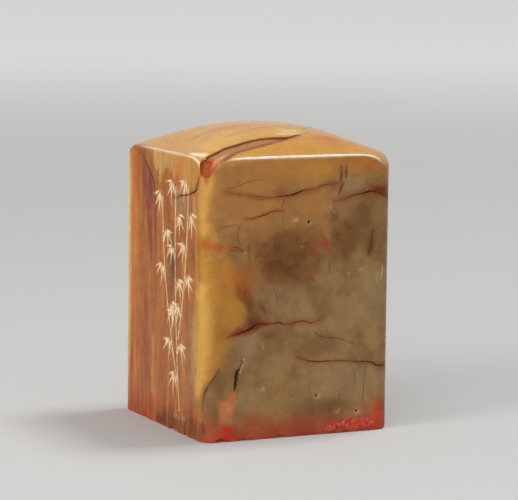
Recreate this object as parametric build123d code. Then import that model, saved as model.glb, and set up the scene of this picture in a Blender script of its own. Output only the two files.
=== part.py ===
"""A square soapstone seal stamp, in millimetres.

The block stands on its carved seal face. The origin is the centre of that face, +Z is up, the wide plain face of
the photograph looks towards -Y and the engraved side towards -X. Fillings, paste and stone are separate solids
that meet face to face.
"""
from build123d import *
import os
from math import cos, hypot, radians, sin

# The block and its pillow-shaped top
side = 25.0
rim_height = 33.9
upright_edge_radius = 1.8
rim_radius = 0.35
crown_rise = 3.15
crown_power = 2.4
corner_drop = 5.0
corner_power = 11.5
crown_grid_steps = 28
crown_fit_error = 0.002
overrun = 1.0

# The carved seal face
border_width = 1.6
fret_units = 11
carving_depth = 1.0
paste_film = 0.2

# Veins in healed cracks
vein_depth = 1.5
upper_vein_width = 0.42
right_vein_width = 0.75
middle_vein_width = 0.28
lower_vein_width = 0.85
foot_vein_width = 0.34
left_vein_width = 0.95
corner_vein_width = 0.34

# The engraved bamboo and its pale filling
groove_depth = 0.35
fill_thickness = 0.22
stalk_width = 0.36
stalk_gap = 0.4
twig_width = 0.16
twig_length = 1.3
leaf_length = 2.9
leaf_width = 0.5

# Damage and wear
fissure_width = 0.62
fissure_depth = 2.4
flake_depth = 0.3
corner_chip_depth = 0.75
corner_chip_size = 9.0
edge_chip_radius = 1.2
edge_chip_depth = 0.4
crust_depth = 0.45
pit_radius = 0.17
pit_depth = 0.25

half_side = side / 2
top_height = rim_height + crown_rise

# Paths on a side face: across as a share of the half side, up as a share of the rim's height,
# and the width there as a share of the vein's width
upper_vein_shares = [
    (-0.79, 0.882, 0), (-0.53, 0.867, 0.35), (-0.32, 0.859, 0.45), (-0.19, 0.862, 0.8),
    (-0.08, 0.865, 1), (0.065, 0.880, 0.9), (0.18, 0.884, 0.6), (0.395, 0.899, 0),
]
right_vein_shares = [
    (0.325, 0.834, 0), (0.46, 0.841, 0.3), (0.55, 0.853, 0.4), (0.75, 0.866, 0.8), (1.05, 0.838, 1),
]
middle_vein_shares = [
    (-0.59, 0.790, 0), (-0.50, 0.789, 0.7), (-0.365, 0.800, 1), (-0.30, 0.808, 0.8), (-0.19, 0.812, 0),
]
lower_vein_shares = [
    (-0.75, 0.372, 0), (-0.59, 0.386, 0.8), (-0.45, 0.409, 1), (-0.32, 0.411, 0.45),
    (-0.19, 0.414, 0.5), (0.025, 0.413, 0.45), (0.125, 0.406, 0.5), (0.24, 0.421, 0),
]
foot_vein_shares = [
    (-0.005, 0.287, 0), (0.085, 0.270, 0.8), (0.22, 0.265, 1), (0.425, 0.263, 0.8),
    (0.76, 0.250, 1), (0.84, 0.235, 1), (1.05, 0.232, 1),
]
left_vein_shares = [
    (-0.54, 0.975, 0), (-0.38, 0.925, 0.8), (-0.24, 0.880, 1), (-0.205, 0.780, 0.6), (-0.19, 0.63, 0),
]
corner_vein_shares = [
    (0.90, 0.955, 0), (0.80, 0.905, 1), (0.745, 0.876, 1), (0.575, 0.859, 0.8), (0.36, 0.852, 1), (0.235, 0.842, 0),
]
fissure_shares = [
    (-0.60, 0.290, 0), (-0.62, 0.261, 0.45), (-0.652, 0.246, 1), (-0.672, 0.199, 0.7), (-0.685, 0.176, 0),
]

# Outline of the flake scar from above, and its corner chip, as shares of the half side
flake_outline_shares = [
    (-0.91, -0.82), (-0.79, -0.78), (-0.58, -0.715), (-0.355, -0.675), (-0.05, -0.665), (0.16, -0.625),
    (-0.01, -0.705), (-0.255, -0.78), (-0.58, -0.87), (-0.79, -1.05), (-0.95, -1.05),
]
corner_chip_direction_shares = (-0.50, -0.66, 0.56)
crust_outline_shares = [
    (0.31, 0.010), (0.34, 0.034), (0.435, 0.040), (0.51, 0.054), (0.63, 0.050), (0.75, 0.056),
    (0.86, 0.040), (0.85, 0.008), (0.53, 0.006),
]
pit_shares = [(-0.06, 0.781), (0.09, 0.766), (-0.405, 0.183), (0.195, 0.143), (0.41, 0.085), (0.63, 0.076)]
front_chip_shares = [(-0.82, 1.0), (-0.59, 0.6), (-0.19, 0.8), (0.165, 0.5)]
left_chip_shares = [(0.25, 0.9), (0.62, 0.7)]

# Centre line of one square spiral of the fret, in fret units from the middle of the seal face
fret_spiral_units = [
    (1.5, 1.5), (9.5, 1.5), (9.5, 9.5), (1.5, 9.5), (1.5, 3.5),
    (7.5, 3.5), (7.5, 7.5), (3.5, 7.5), (3.5, 5.5), (5.5, 5.5),
]

# Bamboo stalks on the left face: foot, top, number of joints and how far the stalk bows sideways
main_stalk_shares = ((0.42, 0.075), (0.30, 0.875), 7, -0.05)
left_shoot_shares = ((0.37, 0.18), (-0.02, 0.83), 5, -0.09)
right_shoot_shares = ((0.37, 0.33), (0.60, 0.89), 5, 0.06)
leaf_fan_degrees = (-80, -46, -112, -10)
leaf_length_shares = (1.0, 0.9, 0.75, 0.7)


def crown_height(x, y):
    """Height of the pillow-shaped top above the seal face."""
    across = abs(x / half_side)
    along = abs(y / half_side)
    rise = crown_rise * (1 - across**crown_power) * (1 - along**crown_power)
    return rim_height + rise - corner_drop * (across * along) ** corner_power


def above_crown(lowering):
    """Everything over the top surface, once that is lowered by the given depth."""
    reach = half_side + overrun / 4
    places = [reach * (2 * step / crown_grid_steps - 1) for step in range(crown_grid_steps + 1)]
    grid = [[Vector(x, y, crown_height(x, y) - lowering) for y in places] for x in places]
    surface = Face.make_surface_from_array_of_points(grid, tol=crown_fit_error, min_deg=3, max_deg=8)
    return extrude(surface, amount=crown_rise + corner_drop * 2 + overrun, dir=(0, 0, 1))


def front_plane():
    return Plane(origin=(0, -half_side, 0), x_dir=(1, 0, 0), z_dir=(0, -1, 0))


def left_plane():
    return Plane(origin=(-half_side, 0, 0), x_dir=(0, -1, 0), z_dir=(-1, 0, 0))


def make_blank():
    """The polished block before anything is cut into it."""
    foot = RectangleRounded(side, side, upright_edge_radius)
    block = extrude(foot, amount=top_height + overrun) - above_crown(0)
    rim = [edge for edge in block.edges() if edge.center().Z > rim_height - corner_drop]
    return fillet(rim, rim_radius)


def ribbon_outline(path_shares, width):
    """A closed outline around a path on a side face, as wide at each point as its share says."""
    path = [(across * half_side, up * rim_height, share * width) for across, up, share in path_shares]
    one_bank = []
    other_bank = []
    for index, (x, y, thick) in enumerate(path):
        before = path[max(index - 1, 0)]
        after = path[min(index + 1, len(path) - 1)]
        run = hypot(after[0] - before[0], after[1] - before[1])
        normal = ((before[1] - after[1]) / run, (after[0] - before[0]) / run)
        one_bank.append((x + normal[0] * thick / 2, y + normal[1] * thick / 2))
        if thick > 0:
            other_bank.append((x - normal[0] * thick / 2, y - normal[1] * thick / 2))
    return one_bank + other_bank[::-1]


def outline_face(points):
    return make_face(Polyline(points, close=True))


def sunk_in(plane, sketch, depth, cover=0.0):
    """A sketch on a side face as a solid from depth up to the cover, which is outside the face if negative."""
    return plane * Pos(0, 0, -depth) * extrude(sketch, amount=depth - cover)


def ribbon(plane, path_shares, width, depth):
    return sunk_in(plane, outline_face(ribbon_outline(path_shares, width)), depth, -overrun)


def make_fret():
    """The raised lines of the seal face: a middle cross and four square spirals, seen from below."""
    unit = (side - 2 * border_width) / (2 * fret_units + 1)
    inner = side - 2 * border_width
    lines = Rectangle(inner, unit) + Rectangle(unit, inner)
    for flip_x in (-1, 1):
        for flip_y in (-1, 1):
            corners = [
                (flip_x * (a * unit + unit / 2), flip_y * (b * unit + unit / 2)) for a, b in fret_spiral_units
            ]
            for start, end in zip(corners, corners[1:]):
                middle = Pos((start[0] + end[0]) / 2, (start[1] + end[1]) / 2)
                long_x = abs(end[0] - start[0]) + unit
                long_y = abs(end[1] - start[1]) + unit
                lines += middle * Rectangle(long_x, long_y)
    return lines


def make_carving():
    """The sunk ground of the seal face, between its border and its raised lines."""
    inner = side - 2 * border_width
    return Rectangle(inner, inner) - make_fret()


def leaf(root, degrees, length):
    """A tapered leaf cut, widest near its root."""
    along = (cos(radians(degrees)), sin(radians(degrees)))
    belly = (root[0] + along[0] * length / 3, root[1] + along[1] * length / 3)
    side_step = (-along[1] * leaf_width / 2, along[0] * leaf_width / 2)
    return outline_face([
        root,
        (belly[0] + side_step[0], belly[1] + side_step[1]),
        (root[0] + along[0] * length, root[1] + along[1] * length),
        (belly[0] - side_step[0], belly[1] - side_step[1]),
    ])


def bar(start, end, width):
    """A straight cut with square ends."""
    run = hypot(end[0] - start[0], end[1] - start[1])
    step = ((start[1] - end[1]) / run * width / 2, (end[0] - start[0]) / run * width / 2)
    return outline_face([
        (start[0] + step[0], start[1] + step[1]),
        (end[0] + step[0], end[1] + step[1]),
        (end[0] - step[0], end[1] - step[1]),
        (start[0] - step[0], start[1] - step[1]),
    ])


def make_stalk(stalk_shares):
    """One jointed stalk with a leafy twig at each joint, the twigs on alternate sides."""
    foot, top, joints, bow = stalk_shares
    places = []
    for joint in range(joints + 1):
        climb = joint / joints
        across = foot[0] + (top[0] - foot[0]) * climb + bow * 4 * climb * (1 - climb)
        up = foot[1] + (top[1] - foot[1]) * climb
        places.append((across * half_side, up * rim_height))
    cuts = Sketch()
    for number, (lower, upper) in enumerate(zip(places, places[1:])):
        run = hypot(upper[0] - lower[0], upper[1] - lower[1])
        trim = stalk_gap / 2 / run
        start = (lower[0] + (upper[0] - lower[0]) * trim, lower[1] + (upper[1] - lower[1]) * trim)
        end = (upper[0] - (upper[0] - lower[0]) * trim, upper[1] - (upper[1] - lower[1]) * trim)
        cuts += bar(start, end, stalk_width)
        turn = 1 if number % 2 else -1
        twig_end = (end[0] + turn * twig_length * 0.7, end[1] + twig_length * 0.7)
        cuts += bar(end, twig_end, twig_width)
        for degrees, share in zip(leaf_fan_degrees, leaf_length_shares):
            slant = degrees if turn > 0 else 180 - degrees
            cuts += leaf(twig_end, slant, leaf_length * share)
    return cuts


def edge_chip(edge_point, outward, share):
    """A shell-shaped bite out of a bottom edge, its centre outside and below the edge."""
    radius = edge_chip_radius * share
    standoff = (radius - edge_chip_depth * share) * cos(radians(45))
    centre = Vector(*edge_point) + Vector(*outward) * standoff - Vector(0, 0, standoff)
    return Pos(centre) * Sphere(radius)


def corner_chip():
    """A flat spall off the near top corner."""
    x, y, z = corner_chip_direction_shares
    reach = half_side - upright_edge_radius + upright_edge_radius * cos(radians(45))
    corner = Vector(-reach, -reach, crown_height(-reach, -reach))
    plane = Plane(origin=corner, z_dir=(x, y, z))
    return plane * Pos(0, 0, corner_chip_size / 2 - corner_chip_depth) * Box(
        corner_chip_size, corner_chip_size, corner_chip_size
    )


def flake_scar():
    """A thin flake lost along the front of the top."""
    outline = outline_face([(x * half_side, y * half_side) for x, y in flake_outline_shares])
    column = Pos(0, 0, rim_height / 2) * extrude(outline, amount=top_height)
    return column & above_crown(flake_depth)


def pits():
    """Round pits in the front face, wider at the mouth."""
    cones = []
    for across, up in pit_shares:
        place = Pos(across * half_side, up * rim_height, -pit_depth / 2)
        cones.append(front_plane() * place * Cone(pit_radius / 2, pit_radius, pit_depth))
    return cones


blank = make_blank()

# Fillings of the healed cracks, flush with the polished faces
front, left = front_plane(), left_plane()
vein_table = {
    "upper_vein": (front, upper_vein_shares, upper_vein_width),
    "right_vein": (front, right_vein_shares, right_vein_width),
    "middle_vein": (front, middle_vein_shares, middle_vein_width),
    "lower_vein": (front, lower_vein_shares, lower_vein_width),
    "foot_vein": (front, foot_vein_shares, foot_vein_width),
    "left_vein": (left, left_vein_shares, left_vein_width),
    "corner_vein": (left, corner_vein_shares, corner_vein_width),
}
vein_cuts = {name: ribbon(*row, vein_depth) for name, row in vein_table.items()}

# The engraving, and the pale filling at the bottom of its grooves
main_stalk = make_stalk(main_stalk_shares)
right_shoot = make_stalk(right_shoot_shares) - main_stalk
left_shoot = make_stalk(left_shoot_shares) - main_stalk - right_shoot
stalks = {"main_stalk_fill": main_stalk, "right_shoot_fill": right_shoot, "left_shoot_fill": left_shoot}
grooves = {name: sunk_in(left, sketch, groove_depth, -overrun) for name, sketch in stalks.items()}
groove_cover = groove_depth - fill_thickness

carving = make_carving()
crust_outline = outline_face([(x * half_side, z * rim_height) for x, z in crust_outline_shares])

stone = blank
for cut in vein_cuts.values():
    stone -= cut
for cut in grooves.values():
    stone -= cut
stone -= extrude(carving, amount=carving_depth)
stone -= ribbon(front, fissure_shares, fissure_width, fissure_depth)
stone -= flake_scar()
stone -= corner_chip()
stone -= sunk_in(front, crust_outline, crust_depth, -overrun)
for pit in pits():
    stone -= pit
for across, share in front_chip_shares:
    stone -= edge_chip((across * half_side, -half_side, 0), (0, -1, 0), share)
for across, share in left_chip_shares:
    stone -= edge_chip((-half_side, -across * half_side, 0), (-1, 0, 0), share)

pieces = {"seal_stone": stone}
for name, cut in vein_cuts.items():
    filling = cut & blank
    if vein_table[name][0] is left:
        filling -= corner_chip()
        for groove in grooves.values():
            filling -= groove
    pieces[name] = filling
for name, sketch in stalks.items():
    pieces[name] = sunk_in(left, sketch, groove_depth, groove_cover)
pieces["seal_paste"] = Pos(0, 0, carving_depth - paste_film) * extrude(carving, amount=paste_film)
pieces["paste_crust"] = sunk_in(front, crust_outline, crust_depth)

os.makedirs("parts", exist_ok=True)
for name, shape in pieces.items():
    export_step(shape, f"parts/{name}.step")
    print(name, len(shape.solids()), round(shape.volume, 2))
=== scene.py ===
import math
import bmesh
import bpy
import numpy as np
from mathutils import Matrix, Vector, noise


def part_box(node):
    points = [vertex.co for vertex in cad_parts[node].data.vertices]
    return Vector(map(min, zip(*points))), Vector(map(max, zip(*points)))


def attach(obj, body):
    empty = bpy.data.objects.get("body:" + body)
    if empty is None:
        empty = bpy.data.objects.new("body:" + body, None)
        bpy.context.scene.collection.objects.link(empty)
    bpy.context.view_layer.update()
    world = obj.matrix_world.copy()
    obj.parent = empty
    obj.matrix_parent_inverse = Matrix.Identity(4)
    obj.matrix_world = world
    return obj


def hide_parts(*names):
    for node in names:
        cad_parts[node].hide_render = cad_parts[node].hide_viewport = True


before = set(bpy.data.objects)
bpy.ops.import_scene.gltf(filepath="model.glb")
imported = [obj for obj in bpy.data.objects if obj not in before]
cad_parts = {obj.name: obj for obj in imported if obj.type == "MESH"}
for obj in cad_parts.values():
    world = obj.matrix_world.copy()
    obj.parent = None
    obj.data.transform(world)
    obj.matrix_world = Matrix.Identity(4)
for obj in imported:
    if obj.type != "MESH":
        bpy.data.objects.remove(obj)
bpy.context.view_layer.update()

# The stone block, in metres, as the frame has it
mm = 0.001
stone_low, stone_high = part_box("seal_stone")
half_side = (stone_high.x - stone_low.x) / 2
rim_height = 33.9 * mm
crown_rise = stone_high.z - rim_height
crown_power = 2.4
corner_drop = 5.0 * mm
corner_power = 11.5
upright_radius = 1.8 * mm
rim_radius = 0.35 * mm
flat_half = half_side - upright_radius
quarter_turn = math.pi / 2
arc_length = quarter_turn * upright_radius
lap = 2 * flat_half + arc_length

# Fineness of the stone's mesh, and how its surface is worn
wall_columns = 100
wall_rows = 140
rim_steps = 5
sway_depth = 0.022 * mm
foot_wear = 0.16 * mm
foot_wear_height = 0.5 * mm
# Cutters start this far outside the stone, and fillings keep this gap to their cuts
groove_lift = 0.3 * mm
fit_gap = 0.004 * mm
least_width = 0.012 * mm
rounding = 1e-6
rng = np.random.default_rng(11)


def left_s(y_mm):
    """The way round the block, in mm, of a place on the left face at this y."""
    return -(flat_half + arc_length) / mm - (y_mm + flat_half / mm)


def left_row(rows):
    """Rows of y, z and width on the left face as rows on the unrolled wall."""
    return [(left_s(y), z, width) for y, z, width in rows]


def crown_height(x, y):
    """The height of the swelling top, without its wear."""
    across = np.abs(x / half_side)
    along = np.abs(y / half_side)
    rise = crown_rise * (1 - across**crown_power) * (1 - along**crown_power)
    return rim_height + rise - corner_drop * (across * along) ** corner_power


def sway(x, y, z):
    """Slight unevenness of the hand-polished surface, always inward."""
    a = np.sin(x / mm * 0.31 + z / mm * 0.22 + 0.4) + np.sin(y / mm * 0.37 - z / mm * 0.17 + 1.9)
    b = np.sin(z / mm * 0.45 + x / mm * 0.12 + 2.2) + np.sin((x + y) / mm * 0.52 + 0.7)
    return -sway_depth * (0.5 + (a + b) / 8)


def wobble(s, z, scale, seed):
    """A smooth value from -1 to 1 over the block's unrolled wall, in steps of the scale."""
    points = zip(np.ravel(s), np.ravel(z))
    values = [noise.noise(Vector((a / scale, b / scale, seed))) for a, b in points]
    return np.array(values).reshape(np.shape(s))


def around(s):
    """The plan point and outward direction at a way round the block, from the front's middle towards +X."""
    s = np.asarray(s, float)
    quarter = np.floor((s + flat_half) / lap)
    rest = s + flat_half - quarter * lap
    angle = np.clip((rest - 2 * flat_half) / upright_radius, 0, quarter_turn)
    centre_x = np.minimum(rest, 2 * flat_half) - flat_half
    x = centre_x + upright_radius * np.sin(angle)
    y = -flat_half - upright_radius * np.cos(angle)
    turn = quarter * quarter_turn
    c, n = np.cos(turn), np.sin(turn)
    out_x, out_y = np.sin(angle), -np.cos(angle)
    return x * c - y * n, x * n + y * c, out_x * c - out_y * n, out_x * n + out_y * c


def way_round(x, y):
    """The reverse of around, for a point on or near the wall."""
    core_x = np.clip(x, -flat_half, flat_half)
    core_y = np.clip(y, -flat_half, flat_half)
    angle = np.arctan2(x - core_x, -(y - core_y))
    quarter = np.floor(angle / quarter_turn + rounding)
    local = np.select([quarter == 0, quarter == 1, quarter == -1], [core_x, core_y, -core_y], -core_x)
    s = quarter * lap + local + upright_radius * (angle - quarter * quarter_turn)
    reach = np.hypot(x - core_x, y - core_y) - upright_radius
    return s, reach


def foot_inset(s, z):
    """Wear along the bottom edge."""
    near = np.clip(1 - z / foot_wear_height, 0, 1)
    nibble = 0.65 + 0.35 * np.sin(s / mm * 1.7) * np.sin(s / mm * 0.63 + 1)
    return foot_wear * near**2 * nibble


def wall(s, z, out=0.0):
    """Points on the wall at a way round and a height, moved outward if asked."""
    s, z = np.broadcast_arrays(np.asarray(s, float), np.asarray(z, float))
    x, y, nx, ny = around(s)
    move = out + sway(x, y, z) - foot_inset(s, z)
    return np.stack([x + nx * move, y + ny * move, z], -1)


def crown(x, y, out=0.0):
    """Points on the top at a place, moved up if asked."""
    x, y = np.broadcast_arrays(np.asarray(x, float), np.asarray(y, float))
    return np.stack([x, y, crown_height(x, y) + sway(x, y, rim_height) + out], -1)


# The natural marks are placed on a drawing of the unrolled walls, 35 mm high, and of the top.
# These steps, in mm, lay the drawing on the block.
drawn_height = 35.0 * mm
drawn_way = np.array([-70, -37.5, -34.0, -14.6, -13.0, -11.8, 10.5, 13.2, 70]) * mm
laid_way = np.array([-70, -37.5, -33.0, -15.4, -13.2, -11.95, 9.5, 13.2, 70]) * mm
drawn_x = np.array([-12.5, -11.0, 8.0, 11.0, 12.5]) * mm
laid_x = np.array([-12.5, -11.4, 7.3, 10.6, 12.5]) * mm
drawn_y = np.array([-13.2, -12.0, -9.0, -6.0, 0, 13]) * mm
laid_y = np.array([-13.0, -11.65, -8.65, -5.75, 0, 13]) * mm


def marked_wall(s, z, out=0.0):
    return wall(np.interp(s, drawn_way, laid_way), np.asarray(z) * rim_height / drawn_height, out)


def marked_crown(x, y, out=0.0):
    return crown(np.interp(x, drawn_x, laid_x), np.interp(y, drawn_y, laid_y), out)


def add_mesh(name, points, faces):
    mesh = bpy.data.meshes.new(name)
    mesh.from_pydata([tuple(p) for p in points], [], faces)
    obj = bpy.data.objects.new(name, mesh)
    bpy.context.scene.collection.objects.link(obj)
    return obj


def face_out(obj):
    """Turns every face of closed shells outward."""
    bm = bmesh.new()
    bm.from_mesh(obj.data)
    bmesh.ops.recalc_face_normals(bm, faces=bm.faces)
    bm.to_mesh(obj.data)
    bm.free()
    return obj


def loft_faces(count, size, start=0):
    """Faces of a closed loft through count rings of the given size."""
    faces = []
    for k in range(count - 1):
        for j in range(size):
            a, b = start + k * size + j, start + k * size + (j + 1) % size
            faces.append((a, b, b + size, a + size))
    faces.append(tuple(start + j for j in reversed(range(size))))
    faces.append(tuple(start + (count - 1) * size + j for j in range(size)))
    return faces


def add_lofts(name, lofts):
    """One object from several closed lofts, each an array of rings of points."""
    points, faces = [], []
    for rings in lofts:
        faces += loft_faces(rings.shape[0], rings.shape[1], len(points))
        points += list(rings.reshape(-1, 3))
    return face_out(add_mesh(name, points, faces))


def set_layer(obj, name, values):
    """Stores one value for each point of a mesh, for its material to read."""
    layer = obj.data.attributes.new(name, "FLOAT", "POINT")
    layer.data.foreach_set("value", np.clip(values, 0, 1).astype(np.float32))


def smooth_path(points, per_span):
    """Catmull-Rom through the rows of points."""
    p = np.asarray(points, float)
    p = np.vstack([2 * p[0] - p[1], p, 2 * p[-1] - p[-2]])
    rows = []
    for k in range(1, len(p) - 2):
        for t in np.arange(per_span) / per_span:
            a, b, c, d = p[k - 1], p[k], p[k + 1], p[k + 2]
            rows.append(0.5 * (2 * b + (c - a) * t + (2 * a - 5 * b + 4 * c - d) * t**2
                               + (3 * b - a - 3 * c + d) * t**3))
    rows.append(p[-2])
    return np.array(rows)


def across_path(path):
    """Unit directions square to a path in the plane."""
    step = np.gradient(path[:, :2], axis=0)
    step /= np.maximum(np.hypot(step[:, 0], step[:, 1])[:, None], 1e-12)
    return np.stack([-step[:, 1], step[:, 0]], -1)


def subtract(obj, cutter):
    """Cuts the closed cutter out of obj and removes the cutter."""
    cut = obj.modifiers.new("cut", "BOOLEAN")
    cut.operation = "DIFFERENCE"
    cut.solver = "MANIFOLD"
    cut.object = cutter
    graph = bpy.context.evaluated_depsgraph_get()
    result = bpy.data.meshes.new_from_object(obj.evaluated_get(graph))
    obj.modifiers.clear()
    before = len(obj.data.vertices)
    old = obj.data
    obj.data = result
    bpy.data.meshes.remove(old)
    bpy.data.objects.remove(cutter)
    if len(result.vertices) == before:
        print("nothing was cut:", obj.name, before)


def subtract_lofts(obj, lofts):
    subtract(obj, add_lofts("cutter", lofts))



def rim_profile(s):
    """The wall's top at each way round, and rows of points from there over the rim to the crown's edge."""
    x, y, nx, ny = around(s)
    edge = crown_height(x, y)
    probe = 0.05 * mm
    slope = (crown_height(x - nx * probe, y - ny * probe) - edge) / probe
    tilt = np.arctan(slope)
    turn = quarter_turn - tilt
    setback = rim_radius * np.tan(turn / 2)
    rows = []
    for k in range(rim_steps + 1):
        phi = turn * k / rim_steps
        out = rim_radius * (np.cos(phi) - 1) + sway(x, y, edge)
        height = edge - setback + rim_radius * np.sin(phi)
        dip = sway(x, y, rim_height) * k / rim_steps
        rows.append(np.stack([x + nx * out, y + ny * out, height + dip], -1))
    return edge - setback, rows


def make_block():
    """The polished block as one closed grid: walls, rim and crown over a rounded square."""
    n = wall_columns
    reach = flat_half + arc_length / 2
    along = np.linspace(-reach, reach, n + 1)[:-1]
    s = np.concatenate([along + quarter * lap for quarter in range(4)])
    wall_top, rim_rows = rim_profile(s)
    rows = []
    for share in np.linspace(0, 1, wall_rows + 1):
        rows.append(wall(s, np.maximum(wall_top * share, 0)))
    rows[-1] = rim_rows[0]
    rows += rim_rows[1:]
    points = list(np.concatenate(rows))
    count = 4 * n
    faces = []
    for r in range(len(rows) - 1):
        for k in range(count):
            a, b = r * count + k, r * count + (k + 1) % count
            faces.append((a, b, b + count, a + count))
    faces.append(tuple(reversed(range(count))))

    # The crown: each inner point comes from the four rim lines around it
    top = rows[-1]
    start = (len(rows) - 1) * count
    front = top[:n + 1]
    right = top[n:2 * n + 1]
    back = top[2 * n:3 * n + 1][::-1]
    left = np.vstack([top[3 * n:], top[:1]])[::-1]
    index = np.zeros((n + 1, n + 1), int)
    for k in range(n + 1):
        index[k, 0] = start + k
        index[n, k] = start + (n + k) % count
        index[k, n] = start + 3 * n - k
        index[0, k] = start + (4 * n - k) % count
    for i in range(1, n):
        for j in range(1, n):
            u, v = i / n, j / n
            plan = ((1 - v) * front[i] + v * back[i] + (1 - u) * left[j] + u * right[j]
                    - (1 - u) * (1 - v) * front[0] - u * (1 - v) * front[n]
                    - (1 - u) * v * back[0] - u * v * back[n])
            index[i, j] = len(points)
            points.append(crown(plan[0], plan[1]))
    for i in range(n):
        for j in range(n):
            faces.append((index[i, j], index[i + 1, j], index[i + 1, j + 1], index[i, j + 1]))
    return face_out(add_mesh("carved_stone", points, faces))


stone = make_block()

# Natural cracks on the walls: way round, height and width in mm
crack_paths = {
    "upper_vein": [
        (-9.6, 30.88, 0.03), (-6.2, 30.33, 0.06), (-3.5, 30.07, 0.08), (-1.9, 30.16, 0.16),
        (-0.44, 30.30, 0.24), (0.5, 30.62, 0.22), (1.43, 30.85, 0.1), (2.91, 30.93, 0.09),
        (3.4, 31.28, 0.12), (5.75, 31.45, 0.03)],
    "right_vein": [
        (4.9, 29.25, 0.03), (6.57, 29.44, 0.12), (7.79, 29.86, 0.14), (9.2, 30.12, 0.18),
        (10.39, 30.35, 0.24), (11.2, 30.1, 0.16), (12.3, 29.5, 0.14), (14.2, 29.0, 0.08),
        (16.5, 29.3, 0.03)],
    "middle_vein": [
        (-7.0, 27.6, 0.03), (-5.88, 27.6, 0.11), (-4.16, 27.98, 0.16), (-3.23, 28.31, 0.1),
        (-1.85, 28.42, 0.03)],
    "lower_vein": [
        (-9.1, 13.1, 0.03), (-7.6, 13.45, 0.22), (-6.22, 13.86, 0.34), (-5.22, 14.45, 0.2),
        (-3.49, 14.40, 0.12), (-2.3, 14.5, 0.2), (-1.09, 14.2, 0.12), (0.93, 14.52, 0.16),
        (2.28, 14.22, 0.12), (3.7, 14.78, 0.03)],
    "foot_vein": [
        (0.5, 10.07, 0.03), (1.75, 9.46, 0.14), (3.52, 9.28, 0.16), (6.11, 9.19, 0.11), (8.6, 8.95, 0.14),
        (10.51, 8.75, 0.18), (11.5, 8.22, 0.2), (13.2, 8.1, 0.14), (15.4, 8.5, 0.1), (18.6, 8.2, 0.03)],
    "left_vein": left_row([
        (7.6, 34.0, 0.05), (5.9, 32.9, 0.2), (4.4, 31.7, 0.3), (3.3, 30.6, 0.26), (2.9, 27.6, 0.12),
        (2.7, 23.5, 0.03)]),
    "corner_vein": left_row([
        (-11.2, 32.9, 0.05), (-10.6, 31.6, 0.2), (-10.1, 30.75, 0.22), (-7.83, 30.1, 0.16),
        (-5.6, 29.85, 0.2), (-4.5, 29.5, 0.1), (-3.0, 29.5, 0.03)]),
}
vein_depth = 0.7 * mm
vein_sink = 0.014 * mm
crack_waver = 0.022 * mm
least_crack = 0.02 * mm
slot_taper = 0.6


def ragged_sections(path_mm, per_span, raggedness):
    """Centre line and two uneven half widths, in metres, for a crack along a path."""
    path = smooth_path(np.array(path_mm) * mm, per_span)
    path[1:-1, :2] += rng.normal(0, crack_waver, (len(path) - 2, 2))
    width = np.maximum(path[:, 2], least_crack)
    uneven = 1 + raggedness * rng.uniform(-1, 1, (2, len(path)))
    return path, across_path(path), width / 2 * uneven[0], width / 2 * uneven[1]


def section_ring(surface, centre, side, corners):
    """One ring across a path. Each corner has its distance to the side and its lift off the surface."""
    return [surface(centre[0] + side[0] * k, centre[1] + side[1] * k, out) for k, out in corners]


def slot_rings(path, across, one, other, top, depth, gap):
    """Rings of a slot or its filling: wide at the surface and narrower below."""
    rings = []
    for centre, side, a, b in zip(path[:, :2], across, one, other):
        a, b = max(a - gap, gap), max(b - gap, gap)
        floor = -depth + gap
        corners = [(a, top), (-b, top), (-b * slot_taper, floor), (a * slot_taper, floor)]
        rings.append(section_ring(marked_wall, centre, side, corners))
    return np.array(rings)


veins = {}
vein_slots = []
for name, path_mm in crack_paths.items():
    sections = ragged_sections(path_mm, 7, 0.38)
    vein_slots.append(slot_rings(*sections, groove_lift, vein_depth, 0))
    filling = slot_rings(*sections, -vein_sink, vein_depth, fit_gap)
    veins[name] = add_lofts(name + "_crack", [filling])
    breadth = sections[0][:, 2] / mm
    set_layer(veins[name], "core", np.repeat((breadth - 0.05) / 0.16, filling.shape[1]))
subtract_lofts(stone, vein_slots)

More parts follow.
